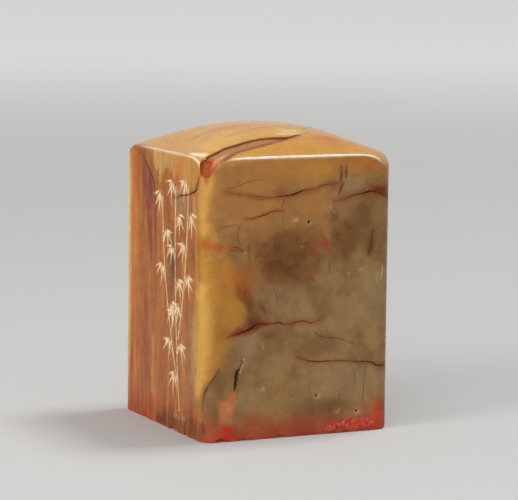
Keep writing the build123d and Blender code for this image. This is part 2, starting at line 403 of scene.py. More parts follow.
# Open hairline cracks, shallow: way round, height and width in mm
hairlines = [
    [(-10.2, 26.6, 0.02), (-9.0, 26.75, 0.06), (-7.8, 26.95, 0.02)],
    [(-9.6, 31.3, 0.02), (-8.0, 31.6, 0.06), (-6.4, 32.1, 0.06), (-4.6, 32.3, 0.02)],
    [(-6.6, 30.0, 0.02), (-5.2, 29.85, 0.06), (-3.9, 29.88, 0.02)],
    [(-1.75, 28.6, 0.02), (-1.95, 28.95, 0.07), (-1.7, 29.5, 0.06), (-1.6, 29.85, 0.02)],
    [(-1.9, 28.2, 0.02), (-1.95, 27.6, 0.06), (-1.6, 27.2, 0.02)],
    [(6.3, 31.2, 0.03), (6.2, 30.8, 0.12), (5.9, 30.2, 0.03)],
    [(6.1, 33.0, 0.03), (6.2, 32.4, 0.15), (6.1, 31.7, 0.04)],
    [(6.8, 33.0, 0.03), (6.85, 32.5, 0.13), (6.85, 32.0, 0.04)],
    [(7.3, 32.2, 0.02), (8.2, 32.35, 0.05), (8.9, 32.3, 0.02)],
    [(-7.3, 27.2, 0.02), (-7.9, 26.2, 0.07), (-7.9, 25.0, 0.06), (-7.5, 24.2, 0.02)],
    [(-8.9, 24.1, 0.02), (-8.0, 24.1, 0.12), (-7.2, 23.6, 0.06), (-6.9, 23.3, 0.02)],
    [(10.8, 26.2, 0.02), (10.6, 25.0, 0.1), (10.5, 23.6, 0.08), (10.1, 22.4, 0.02)],
    [(9.95, 8.3, 0.03), (9.85, 6.6, 0.09), (9.68, 4.2, 0.12), (9.6, 3.8, 0.03)],
    [(6.35, 5.4, 0.03), (6.33, 4.5, 0.09), (6.35, 3.6, 0.03)],
    [(12.6, 7.6, 0.03), (12.65, 7.0, 0.08), (12.6, 6.0, 0.02)],
    [(8.2, 8.2, 0.02), (8.5, 7.3, 0.07), (8.6, 6.2, 0.02)],
    [(2.4, 13.3, 0.02), (3.6, 12.4, 0.05), (6.2, 12.0, 0.05), (8.2, 11.2, 0.04), (8.6, 10.4, 0.02)],
    [(-3.1, 19.0, 0.02), (-2.6, 18.0, 0.07), (-2.4, 17.2, 0.02)],
    [(4.7, 20.2, 0.02), (4.75, 21.2, 0.1), (4.7, 22.0, 0.03)],
    [(-10.2, 9.2, 0.03), (-10.9, 8.2, 0.12), (-11.8, 6.9, 0.14), (-12.3, 5.4, 0.1), (-12.4, 3.8, 0.03)],
    [(-12.35, 2.7, 0.03), (-12.3, 1.8, 0.14), (-12.1, 1.0, 0.04)],
    left_row([(4.5, 33.1, 0.03), (2.9, 32.3, 0.1), (0.9, 31.6, 0.03)]),
    left_row([(-2.3, 34.2, 0.03), (-2.3, 32.9, 0.2), (-2.4, 31.2, 0.03)]),
    left_row([(-1.2, 32.8, 0.03), (-1.1, 32.2, 0.14), (-1.2, 31.6, 0.03)]),
    left_row([(-8.9, 22.6, 0.03), (-9.3, 20.2, 0.1), (-8.9, 17.8, 0.03)]),
    left_row([(-12.2, 34.0, 0.05), (-11.6, 33.3, 0.12), (-11.0, 32.6, 0.05)]),
]
hidden_hairlines = [
    [(17.0, 24.0, 0.02), (19.5, 24.8, 0.1), (22.5, 24.4, 0.12), (25.5, 25.3, 0.03)],
    [(24.0, 30.5, 0.02), (26.5, 29.6, 0.1), (29.0, 29.9, 0.08), (31.5, 29.2, 0.02)],
    [(20.0, 12.5, 0.02), (22.0, 13.4, 0.11), (24.5, 13.2, 0.08), (27.0, 14.1, 0.02)],
    [(30.0, 8.0, 0.02), (30.3, 10.5, 0.1), (29.8, 13.0, 0.03)],
    [(18.5, 5.0, 0.02), (18.4, 6.6, 0.08), (18.7, 8.0, 0.02)],
    [(40.0, 27.5, 0.02), (42.5, 28.3, 0.11), (45.5, 28.0, 0.13), (48.5, 28.9, 0.09), (51.0, 28.6, 0.02)],
    [(52.0, 20.5, 0.02), (54.0, 19.6, 0.1), (56.5, 19.8, 0.06), (58.0, 19.2, 0.02)],
    [(43.0, 14.0, 0.02), (45.0, 14.8, 0.12), (48.0, 14.4, 0.1), (50.5, 15.2, 0.02)],
    [(56.0, 9.5, 0.02), (55.8, 7.6, 0.1), (56.1, 5.8, 0.03)],
    [(41.5, 6.5, 0.02), (43.5, 7.2, 0.08), (46.0, 7.0, 0.02)],
]
pale_scratches = [
    [(4.85, 29.9, 0.04), (4.75, 29.3, 0.16), (4.9, 28.7, 0.05)],
    [(4.6, 28.6, 0.03), (5.0, 28.1, 0.12), (5.5, 27.8, 0.03)],
    [(4.3, 28.2, 0.03), (4.45, 27.9, 0.1), (4.8, 27.5, 0.03)],
    [(7.9, 22.2, 0.03), (8.4, 21.9, 0.15), (8.9, 22.3, 0.04)],
    [(11.6, 21.3, 0.03), (11.75, 20.3, 0.17), (11.55, 19.2, 0.05)],
    [(11.2, 20.2, 0.03), (11.1, 19.3, 0.1), (11.3, 18.4, 0.03)],
    [(-4.9, 12.3, 0.03), (-4.5, 11.9, 0.15), (-4.3, 11.2, 0.04)],
    [(3.0, 21.3, 0.03), (3.9, 21.35, 0.1), (4.6, 21.3, 0.03)],
    [(-10.4, 4.9, 0.03), (-9.6, 5.15, 0.14), (-9.0, 4.95, 0.03)],
]
hairline_depth = 0.09 * mm
groove_steps = 4
least_depth = 0.25

# The same on the top: places along x and y
crown_cracks = [
    [(2.9, -8.0, 0.03), (3.8, -7.5, 0.12), (4.4, -7.0, 0.1), (4.3, -5.9, 0.08), (4.8, -5.0, 0.16),
     (5.9, -4.1, 0.16), (7.2, -2.8, 0.03)],
    [(-7.2, -6.6, 0.02), (-5.6, -6.1, 0.08), (-3.9, -6.2, 0.02)],
    [(-2.6, -5.2, 0.02), (-0.4, -4.6, 0.09), (1.9, -4.7, 0.03)],
    [(0.4, -6.6, 0.02), (1.7, -6.2, 0.07), (3.1, -6.4, 0.02)],
    [(-9.4, -2.4, 0.02), (-7.4, -1.6, 0.08), (-5.2, -1.7, 0.02)],
    [(-1.2, 2.2, 0.02), (2.6, 3.1, 0.1), (6.2, 2.6, 0.02)],
    [(-6.4, 5.2, 0.02), (-3.0, 6.3, 0.09), (0.4, 6.0, 0.02)],
]


def groove_sections(path_mm, depth):
    """Places along a V-shaped cut, with direction across, half width and depth, shallow where narrow."""
    path = smooth_path(np.array(path_mm) * mm, groove_steps)
    width = np.maximum(path[:, 2] / 2, least_width / 2)
    deep = depth * (least_depth + (1 - least_depth) * width / width.max())
    return zip(path[:, :2], across_path(path), width, deep)


def groove_rings(surface, path_mm, depth):
    """Rings of a V-shaped cut along a path on the wall or the crown."""
    rings = []
    for centre, side, half, deep in groove_sections(path_mm, depth):
        flare = half * (1 + groove_lift / deep)
        corners = [(flare, groove_lift), (-flare, groove_lift), (0, -deep)]
        rings.append(section_ring(surface, centre, side, corners))
    return np.array(rings)


def hairline_rings(surface, paths):
    return [groove_rings(surface, path_mm, hairline_depth) for path_mm in paths]


for rings in hairline_rings(marked_wall, hairlines + pale_scratches):
    subtract_lofts(stone, [rings])
subtract_lofts(stone, hairline_rings(marked_wall, hidden_hairlines))
for rings in hairline_rings(marked_crown, crown_cracks):
    subtract_lofts(stone, [rings])

# The engraved bamboo: foot, top, joints and bow as in the CAD, in shares of the left face. The rest is in mm
stalk_shapes = {
    "main_stalk_fill": ((0.42, 0.075), (0.30, 0.875), 7, -0.05),
    "right_shoot_fill": ((0.37, 0.33), (0.60, 0.89), 5, 0.06),
    "left_shoot_fill": ((0.37, 0.18), (-0.02, 0.83), 5, -0.09),
}
stalk_width = 0.34
stalk_gap = 0.4
twig_width = 0.17
twig_reach = 0.91
leaf_length = 2.9
leaf_width = 0.42
leaf_fan = [(-80, 1.0), (-46, 0.9), (-112, 0.75), (-10, 0.7), (-63, 0.5), (-96, 0.45), (-28, 0.5)]
bract_width = 0.13
bract_reach = 0.42
engraving_depth = 0.27 * mm
fill_cover = 0.045 * mm
left_middle = left_s(0)
grass = [(-1.2, 0.9, 118), (-0.7, 1.5, 104), (-0.2, 0.8, 96), (0.5, 1.6, 78), (0.9, 0.9, 62), (1.5, 1.1, 70)]
grass_foot = 1.55


def stroke(root, degrees, length, width, bend=0.0, start=0.0):
    """A tapered cut that starts a little off its root and bends to one side: rows of place and width."""
    a = math.radians(degrees)
    rows = []
    for share, swell in [(start, 0.35), (0.33, 1.0), (0.7, 0.62), (1.0, 0.12)]:
        off = bend * length * 4 * share * (1 - share) * 0.25
        rows.append((root[0] + math.cos(a) * length * share - math.sin(a) * off,
                     root[1] + math.sin(a) * length * share + math.cos(a) * off, width * swell))
    return rows


def stalk_strokes(foot, top, joints, bow):
    """The cuts of one stalk, as groups whose strokes don't cross each other."""
    places = []
    for joint in range(joints + 1):
        climb = joint / joints
        across = foot[0] + (top[0] - foot[0]) * climb + bow * 4 * climb * (1 - climb)
        up = foot[1] + (top[1] - foot[1]) * climb
        places.append(np.array([left_middle + across * half_side / mm, up * rim_height / mm]))
    sections, twigs, bracts = [], [], []
    leaves = [[] for _ in leaf_fan]
    for number, (lower, upper) in enumerate(zip(places, places[1:])):
        run = upper - lower
        trim = run / np.hypot(*run) * stalk_gap / 2
        start, end = lower + trim, upper - trim
        middle = (start + end) / 2
        sections.append([(*start, stalk_width * 1.12), (*(start + (end - start) * 0.12), stalk_width * 0.8),
                         (*middle, stalk_width * 0.74), (*(start + (end - start) * 0.88), stalk_width * 0.8),
                         (*end, stalk_width * 1.12)])
        across, up = upper
        bracts.append([(across - bract_reach, up + 0.1, bract_width * 0.4), (across, up - 0.05, bract_width),
                       (across + bract_reach, up + 0.14, 0.05)])
        turn = 1 if number % 2 else -1
        tip = end + np.array([turn * twig_reach, twig_reach])
        twigs.append([(end[0] + turn * 0.1, end[1] + 0.1, twig_width), (*((end + tip) / 2), twig_width * 0.8),
                      (*tip, twig_width * 0.7)])
        for group, (degrees, share) in zip(leaves, leaf_fan):
            slant = degrees if turn > 0 else 180 - degrees
            slant += rng.uniform(-5, 5)
            length = leaf_length * share * rng.uniform(0.92, 1.05)
            width = leaf_width * (0.55 + 0.45 * share)
            bend = rng.uniform(-0.4, 0.4)
            group.append(stroke(tip, slant, length, width, bend, 0.1 if share > 0.6 else 0.3))
    return [sections, bracts, twigs] + leaves


def fill_rings(path_mm):
    """Rings of the pale filling in the bottom of a V-shaped cut."""
    rings = []
    for centre, side, width, deep in groove_sections(path_mm, engraving_depth):
        cover = fill_cover * rng.uniform(0.6, 1.3)
        half = width * (1 - cover / deep) - fit_gap
        if half < least_width:
            continue
        keel = deep - fit_gap * deep / width
        corners = [(half, -cover), (0, -cover * 0.8), (-half, -cover), (0, -keel)]
        rings.append(section_ring(wall, centre, side, corners))
    return np.array(rings)


fills = {}
engraved = []
for name, shape in stalk_shapes.items():
    groups = stalk_strokes(*shape)
    if name == "main_stalk_fill":
        foot_s = left_middle + shape[0][0] * half_side / mm
        for off, length, degrees in grass:
            groups.append([stroke((foot_s + off, grass_foot), degrees, length, 0.2, 0.3)])
    lofts = []
    for group in groups:
        subtract_lofts(stone, [groove_rings(wall, rows, engraving_depth) for rows in group])
        lofts += [fill_rings(rows) for rows in group]
        engraved += group
    fills[name] = add_lofts(name + "_dust", [rings for rings in lofts if len(rings) > 2])

# The open fissure, low on the front
fissure_path = [
    (-7.12, 10.2, 0.04), (-7.42, 9.2, 0.3), (-7.83, 8.5, 0.58), (-8.09, 7.0, 0.42), (-8.25, 6.1, 0.05)]
fissure_depth = 2.3 * mm
sections = ragged_sections(fissure_path, 6, 0.22)
subtract_lofts(stone, [slot_rings(*sections, groove_lift, fissure_depth, 0)])


def slab_rings(surface, one_edge, other_edge, low, high, across_steps):
    """A slab between two edges on a surface, from its low side to its high side."""
    shares = np.linspace(0, 1, across_steps)
    rings = []
    for a, b in zip(one_edge, other_edge):
        line = a + (b - a) * shares[:, None]
        bottom = surface(line[:, 0], line[:, 1], low(line, shares))
        top = surface(line[::-1, 0], line[::-1, 1], high(line, shares)[::-1])
        rings.append(np.vstack([bottom, top]))
    return np.array(rings)


# The scar of a thin flake, along the front of the top
scar_upper = [
    (-11.9, -11.5), (-10.9, -10.63), (-9.38, -10.11), (-8.05, -9.54), (-6.4, -9.25), (-3.86, -8.7),
    (-1.56, -8.53), (0.6, -8.66), (2.6, -8.1)]
scar_lower = [
    (-11.3, -13.0), (-10.3, -13.1), (-9.2, -12.4), (-7.81, -11.66), (-6.5, -11.15), (-4.3, -10.6),
    (-2.4, -10.1), (-0.2, -9.4), (2.62, -8.16)]
scar_depth = 0.24 * mm
edge_waver = 0.03 * mm
scar_ripple = 0.04 * mm
upper_edge = smooth_path(np.array(scar_upper) * mm, 8)
lower_edge = smooth_path(np.array(scar_lower) * mm, 8)
for edge in (upper_edge, lower_edge):
    edge[1:-1] += rng.normal(0, edge_waver, (len(edge) - 2, 2))


def scar_floor(line, shares):
    """The rippled floor of the scar, deep at its upper edge and shallow at its lower one."""
    ripple = wobble(line[:, 0], line[:, 1], 0.9 * mm, 3.0) * scar_ripple
    return -(scar_depth * (1 - 0.72 * shares)) + ripple * (1 - shares)


def level(out):
    """A side of a slab that stays at one height over the surface."""
    return lambda line, shares: np.full(len(shares), out)


subtract_lofts(stone, [slab_rings(marked_crown, upper_edge, lower_edge, scar_floor, level(groove_lift), 8)])


def scoop_rings(centre, across, out, up, sides, roughness, seed, planes=()):
    """A rough or faceted ellipsoid with half axes along the given vectors, as rings from foot to top."""
    rings = []
    for lift in np.linspace(-80, 80, 14):
        ring = []
        for k in range(sides):
            a, e = 2 * math.pi * k / sides, math.radians(lift)
            ray = Vector((math.cos(a) * math.cos(e), math.sin(a) * math.cos(e), math.sin(e)))
            reach = 1 + roughness * noise.noise(ray * 2.7 + Vector((seed, 0, 0)))
            for *facing, distance in planes:
                reach = min(reach, distance / max(ray.dot(Vector(facing).normalized()), 0.05))
            ring.append(centre + (across * ray.x + out * ray.y + up * ray.z) * reach)
        rings.append(ring)
    return np.array(rings)


# The spall off the near top corner
chip_centre = Vector((-11.85, -11.7, 32.9)) * mm
chip_half = Vector((0.82, 1.5, 1.4)) * mm
chip_planes = [
    (0.8, 0.1, -0.6, 0.6), (0.3, 0.75, -0.6, 0.72), (-0.2, -0.3, -0.9, 0.95), (0.55, -0.6, -0.6, 0.86),
    (1, 0, 0.1, 0.94), (0, 1, 0, 0.94), (0.7, 0.7, 0, 0.88), (0.2, -0.2, -1, 0.9), (0.8, -0.5, 0, 0.9)]
chip_axes = Matrix.Diagonal(chip_half)
subtract_lofts(stone, [scoop_rings(
    chip_centre, *chip_axes, sides=44, roughness=0.16, seed=4.0, planes=chip_planes)])

# Pits in the front face, and bites out of the bottom edge
pit_places = [(-0.17, 27.32), (1.77, 26.81), (-4.61, 6.4), (3.12, 5.0), (5.91, 2.97), (8.8, 2.67)]
pit_radius = 0.2
pit_depth = 0.22
pit_sides = 9
pit_rings = []
for s_mm, z_mm in pit_places:
    shape = rng.uniform(0.8, 1.2, pit_sides)
    rings = []
    for out, share in [(0.2, 1.5), (0, 1.0), (-pit_depth * 0.7, 0.75), (-pit_depth, 0.3)]:
        angles = np.arange(pit_sides) / pit_sides * 2 * math.pi
        reach = pit_radius * share * shape
        across, up = s_mm + np.cos(angles) * reach, z_mm + np.sin(angles) * reach
        rings.append(marked_wall(across * mm, up * mm, out * mm))
    pit_rings.append(np.array(rings))
subtract_lofts(stone, pit_rings)

edge_bites = [
    (-10.0, 1.0), (-7.0, 0.6), (-1.9, 0.8), (2.75, 0.5), (5.6, 0.42), (7.5, 0.5), (left_s(-3.1), 0.9),
    (left_s(-7.8), 0.7), (15.8, 0.7), (21.5, 0.9), (-30.6, 0.6), (34.0, 0.8), (41.2, 0.6)]
bite_radius = 1.2
bite_depth = 0.4
for s_mm, share in edge_bites:
    radius = bite_radius * share
    standoff = (radius - bite_depth * share) * math.cos(math.radians(45))
    centre = Vector(marked_wall(s_mm * mm, 0, standoff * mm)) - Vector((0, 0, standoff * mm))
    axes = Matrix.Identity(3) * radius * mm
    subtract_lofts(stone, [scoop_rings(centre, *axes, sides=16, roughness=0.12, seed=s_mm)])

# The crust of dried paste, and its pocket in the worn front edge
crust_upper = [
    (4.35, 0.55), (4.9, 1.1), (5.7, 1.35), (6.5, 1.25), (7.2, 1.7), (8.3, 1.75), (9.4, 1.6), (10.3, 1.75),
    (11.0, 1.3), (11.3, 0.8)]
crust_lower = [
    (4.3, 0.42), (4.9, 0.3), (5.7, 0.42), (6.5, 0.3), (7.2, 0.5), (8.3, 0.4), (9.4, 0.5), (10.3, 0.38),
    (11.0, 0.3), (11.3, 0.68)]
crust_depth = 0.4 * mm
crust_proud = 0.24 * mm
crust_sink = 0.03 * mm
crust_top = smooth_path(np.array(crust_upper) * mm, 9)
crust_foot = smooth_path(np.array(crust_lower) * mm, 9)
crust_top[:, 1] += wobble(crust_top[:, 0], crust_top[:, 1], 0.35 * mm, 2.0) * 0.22 * mm


def crust_face(line, shares):
    """Lumps of paste that stand a little proud in the middle of the crust."""
    lumps = wobble(line[:, 0], line[:, 1], 0.55 * mm, 4.0) * 0.5 + 0.5
    crumbs = wobble(line[:, 0], line[:, 1], 0.2 * mm, 6.0) * 0.3
    swell = np.sin(math.pi * np.clip(shares * 0.94 + 0.03, 0, 1)) ** 0.6
    return (lumps + crumbs) * swell * crust_proud - crust_sink


def grown(edge, rise):
    """An edge of the crust moved out by the fitting gap, for the pocket that holds it."""
    moved = edge + np.array([0, rise])
    moved[0, 0] -= fit_gap
    moved[-1, 0] += fit_gap
    return moved


subtract_lofts(stone, [slab_rings(
    marked_wall, grown(crust_foot, -fit_gap), grown(crust_top, fit_gap),
    level(-crust_depth - fit_gap), level(groove_lift), 4)])
crust = add_lofts("dried_paste", [
    slab_rings(marked_wall, crust_foot, crust_top, level(-crust_depth), crust_face, 16)])

# The carved seal face: a generic fret of square spirals round a cross
border_width = 1.6 * mm
fret_units = 11
carving_depth = 1.0 * mm
paste_thickness = 0.2 * mm
line_waver = 0.03 * mm
chisel_marks = 0.06 * mm
bar_low = -0.3 * mm
bar_high = 1.3 * mm
inner_half = half_side - border_width
fret_unit = 2 * inner_half / (2 * fret_units + 1)
spiral_units = [
    (1.5, 1.5), (9.5, 1.5), (9.5, 9.5), (1.5, 9.5), (1.5, 3.5), (7.5, 3.5), (7.5, 7.5), (3.5, 7.5),
    (3.5, 5.5), (5.5, 5.5)]


def fret_bars():
    """Start and end of every raised line."""
    arm = inner_half * 1.02
    bars = [((-arm, 0), (arm, 0)), ((0, -arm), (0, arm))]
    for flip_x in (-1, 1):
        for flip_y in (-1, 1):
            corners = [(flip_x * (a + 0.5) * fret_unit, flip_y * (b + 0.5) * fret_unit)
                       for a, b in spiral_units]
            bars += zip(corners, corners[1:])
    return bars


def bar_rings(start, end, gap):
    """A raised line with hand-cut, sloping sides, a little longer than its run."""
    start, end = np.array(start), np.array(end)
    along = (end - start) / np.hypot(*(end - start))
    side = np.array([-along[1], along[0]])
    first, last = start - along * fret_unit / 2, end + along * fret_unit / 2
    rings = []
    for share in np.linspace(0, 1, 9):
        middle = first + (last - first) * share
        uneven = line_waver * noise.noise(Vector((middle[0] / mm, middle[1] / mm, 1.5)))
        narrow = fret_unit * 0.4 + uneven + gap
        wide = fret_unit * 0.5 + uneven + gap
        corners = [(narrow, bar_low), (wide, bar_high), (-wide, bar_high), (-narrow, bar_low)]
        rings.append([(*(middle + side * reach), height) for reach, height in corners])
    return np.array(rings)


def sunk_ground(gap, low, high, ragged):
    """What is cut away between the border and the raised lines, from the low height to the high one."""
    half = inner_half - gap
    steps = 70
    places = (np.arange(steps) / (steps - 1) * 2 - 1) * half
    rings = []
    for x in places:
        chisel = wobble(np.full(steps, x), places, 0.9 * mm, 8.0) * chisel_marks
        bottom = np.stack([np.full(steps, x), places, low + chisel * ragged], -1)
        top = np.stack([np.full(steps, x), places, high + chisel], -1)[::-1]
        rings.append(np.vstack([bottom, top]))
    ground = add_lofts("ground", [np.array(rings)])
    for start, end in fret_bars():
        subtract_lofts(ground, [bar_rings(start, end, gap)])
    return ground


subtract(stone, sunk_ground(0, bar_low, carving_depth, 0))
paste = sunk_ground(fit_gap * 2, carving_depth - paste_thickness, carving_depth - fit_gap, -0.6)
paste.name = "paste_in_carving"

# Where each colour of the stone lies: one mask for each, as a value at every point of its mesh
count = len(stone.data.vertices)
points = np.empty(count * 3)
stone.data.vertices.foreach_get("co", points)
points = points.reshape(-1, 3)
way, reach = way_round(points[:, 0], points[:, 1])
height = points[:, 2]
top_height = crown_height(points[:, 0], points[:, 1])
wall_depth = -reach / mm
crown_depth = (top_height - height) / mm
lattice = np.random.default_rng(5).uniform(-1, 1, (32, 32, 32))


def field(scale, seed, octaves=2, stretch=(1, 1, 1)):
    """Smooth noise from -1 to 1 at every point, with features of the scale in mm."""
    total, share = 0, 0
    for octave in range(octaves):
        cell = points / mm / np.array(stretch) / scale * 2**octave + seed * 7.3
        base = np.floor(cell).astype(int)
        t = cell - base
        t = t * t * (3 - 2 * t)
        value = 0
        for corner in np.ndindex(2, 2, 2):
            weight = np.prod(np.where(corner, t, 1 - t), axis=1)
            place = (base + corner) % 32
            value = value + weight * lattice[place[:, 0], place[:, 1], place[:, 2]]
        total = total + value * 0.5**octave
        share += 0.5**octave
    return total / share


def ease(value):
    """The value from 0 to 1, with a soft start and end."""
    value = np.clip(value, 0, 1)
    return value * value * (3 - 2 * value)


on_crown = ease((wall_depth - 0.02) / 0.3) * (crown_depth < 1.6)
on_seal = (wall_depth > 0.25) & (height < 1.25 * mm)
on_wall = (1 - on_crown) * (1 - on_seal)
drift_a = field(2.6, 1) * 0.5 + field(0.8, 6) * 0.12
drift_b = field(2.6, 2) * 0.5 + field(0.8, 7) * 0.12
drift = np.stack([drift_a, drift_b], -1)
# Where each point lies on the unrolled wall, and on the drawings of the wall and of the top, in mm
true_place = np.stack([way / mm, height / mm], -1)
wall_place = np.stack([np.interp(way, laid_way, drawn_way), height * drawn_height / rim_height], -1) / mm
crown_place = np.stack([
    np.interp(points[:, 0], laid_x, drawn_x), np.interp(points[:, 1], laid_y, drawn_y)], -1) / mm


def line(place, rows):
    """1 on a path and 0 past its half width. Each row has a place and a half width, in mm."""
    rows = np.array(rows, float)
    best = np.zeros(count)
    for a, b in zip(rows, rows[1:]):
        run = b[:2] - a[:2]
        share = np.clip((place - a[:2]) @ run / max(run @ run, 1e-9), 0, 1)
        gap = place - a[:2] - share[:, None] * run
        width = a[2] + (b[2] - a[2]) * share
        best = np.maximum(best, 1 - np.hypot(gap[:, 0], gap[:, 1]) / np.maximum(width, 1e-3))
    return best


def blob(place, middle, size):
    """1 in the middle of a spot, fading out past its half size."""
    gap = (place - np.array(middle)) / np.array(size)
    return np.exp(-(gap**2).sum(1))


def area(place, outline, soft):
    """1 inside an outline and 0 outside, with an edge as soft as given, in mm."""
    outline = np.array(outline, float)
    nearest = np.full(count, 1e9)
    inside = np.zeros(count, bool)
    for a, b in zip(outline, np.roll(outline, -1, axis=0)):
        run = b - a
        share = np.clip((place - a) @ run / (run @ run), 0, 1)
        gap = place - a - share[:, None] * run
        nearest = np.minimum(nearest, np.hypot(gap[:, 0], gap[:, 1]))
        crosses = (a[1] > place[:, 1]) != (b[1] > place[:, 1])
        rise = b[1] - a[1] if b[1] != a[1] else 1e-9
        inside ^= crosses & (place[:, 0] < a[0] + (place[:, 1] - a[1]) * run[0] / rise)
    return ease(0.5 + np.where(inside, nearest, -nearest) / soft)


masks = {}


def paint(name, value, where=None, strength=1.0):
    """Adds a shape to a colour's mask."""
    where = on_wall if where is None else where
    masks[name] = np.maximum(masks.get(name, np.zeros(count)), np.clip(value, 0, 1) * where * strength)


# The colours. honey: amber zones beside the edges, with lemon as the brightest parts; on the rounded edges
# lemon is
# partly a painted highlight. amber: the warm upper part of the front. umber: brown blotches, with bister as
# their
# hearts. russet: iron stain round healed cracks. ash: greyish, clearer places. tan and cream: pale layers,
# dust and scratches, and pale streaks by the front rim at the near corner that are partly a painted
# highlight. orange: warm
# strips. stain and vermilion: seal paste, soaked in and fresh. plum: purple-brown shadows. rose: the scar.
# glint:
# painted highlights on the thin rims, on the top by the near corner and on the back edge of the left face.
# dirt:
# dark brown in the open cracks and small strokes, a dark line along the scar's lower edge, and painted shade
# round the chip's rim. shade: painted shade in the fissure, in three pits and under the scar's upper step.

# Spots: middle, half size, fullness and strength. All is in mm, on the drawing, and the left face goes by y
wall_spots = {
    "honey": [(2.6, 33.6, 6.5, 1.6, 1, 0.55)],
    "amber": [
        (-6, 29.5, 6, 4.6, 1.2, 1), (-1, 33.4, 9, 2.4, 1.2, 1), (2, 28.6, 3.6, 3.6, 1.1, 0.9),
        (-6.5, 22, 2.2, 3.4, 1, 0.55), (8.6, 33.4, 3.6, 1.6, 1, 0.8), (-8.6, 16.5, 1.6, 3, 1, 0.5),
        (-9.6, 31.4, 2.6, 3.8, 1.3, 0.95)],
    "umber": [
        (-1.2, 22.6, 4.2, 3.3, 1.3, 0.85), (9.6, 26.6, 2.6, 3.4, 1, 0.5), (5.3, 27.4, 1, 1.5, 1, 0.75),
        (-6.6, 21.6, 1.5, 1.8, 1, 0.4), (10.4, 24.2, 0.6, 1.9, 1, 0.7), (-3.6, 13.2, 1.2, 1, 1, 0.7),
        (-5.3, 15.6, 1.6, 1.5, 1, 0.6)],
    "bister": [
        (-2, 22.9, 1.8, 1.7, 1, 0.6), (-3.4, 21.9, 1, 0.9, 1, 0.5), (-0.6, 20.9, 1.9, 0.8, 1, 0.55),
        (0.9, 23.1, 0.5, 1.4, 1, 0.35), (8.2, 26, 2.1, 3.2, 1, 0.4)],
    "russet": [(-2.2, 30.9, 0.9, 1, 1, 0.6), (-9.6, 13.6, 1.4, 1.2, 1, 0.45)],
    "ash": [
        (-6.4, 11.5, 1.4, 1.9, 1.2, 1), (0.9, 32, 0.8, 0.9, 1, 0.6), (-1.5, 17.8, 3.5, 1.8, 1, 0.5),
        (7.2, 7, 5, 2.2, 1.1, 0.75), (11.2, 16.5, 2.4, 3.8, 1.1, 0.75), (3, 17, 3, 1.6, 1, 0.35)],
    "orange": [(-7.9, 19.9, 1.8, 1.8, 1, 0.55), (9.5, 33.6, 2.4, 0.9, 1, 0.5)],
    "stain": [(11.9, 2, 1.1, 1.6, 1.2, 0.95), (-11.6, 1.8, 1.3, 1.6, 1, 0.8), (3, 23.6, 0.9, 0.9, 1, 0.45)],
    "vermilion": [(11.6, 2, 0.8, 1.3, 1, 0.75)],
    "plum": [(-5.2, 14.9, 1.3, 0.9, 1, 0.8), (11, 30.7, 0.8, 0.5, 1, 0.7), (4.7, 3.3, 2.4, 0.9, 1, 0.5)],
}
left_spots = {
    "honey": [(-9.2, 32.8, 2.6, 2.6, 1.2, 0.9)],
    "bister": [(-3.5, 20.3, 1.5, 2, 1, 0.9), (-9.2, 22.6, 1.1, 1.2, 1, 0.7)],
    "ash": [(-5.6, 29.3, 2, 2.2, 1, 0.75), (-9.6, 9.6, 1.5, 6.5, 1, 0.7), (-4.5, 13.6, 1.6, 4.2, 1, 0.45)],
    "tan": [(-6.2, 29.6, 2.4, 2.2, 1, 0.45)],
    "orange": [(-4.7, 32.8, 1.6, 1.7, 1, 0.8)],
    "plum": [(-3.3, 21.5, 1.3, 3.2, 1, 0.6)],
}
crown_spots = {
    "honey": [(7.6, -10.2, 3.4, 1.5, 1, 0.8), (-1.5, -11.2, 6, 0.8, 1, 0.5)],
    "tan": [(-7.8, -7.6, 5.5, 3.2, 1, 0.9), (1.2, -6.9, 3.4, 1.3, 1, 0.9)],
    "orange": [(6.4, -9, 1.9, 0.9, 1, 0.9), (1, -8.9, 1.6, 0.6, 1, 0.8), (-4.2, -2, 3.8, 0.9, 1, 0.5)],
}
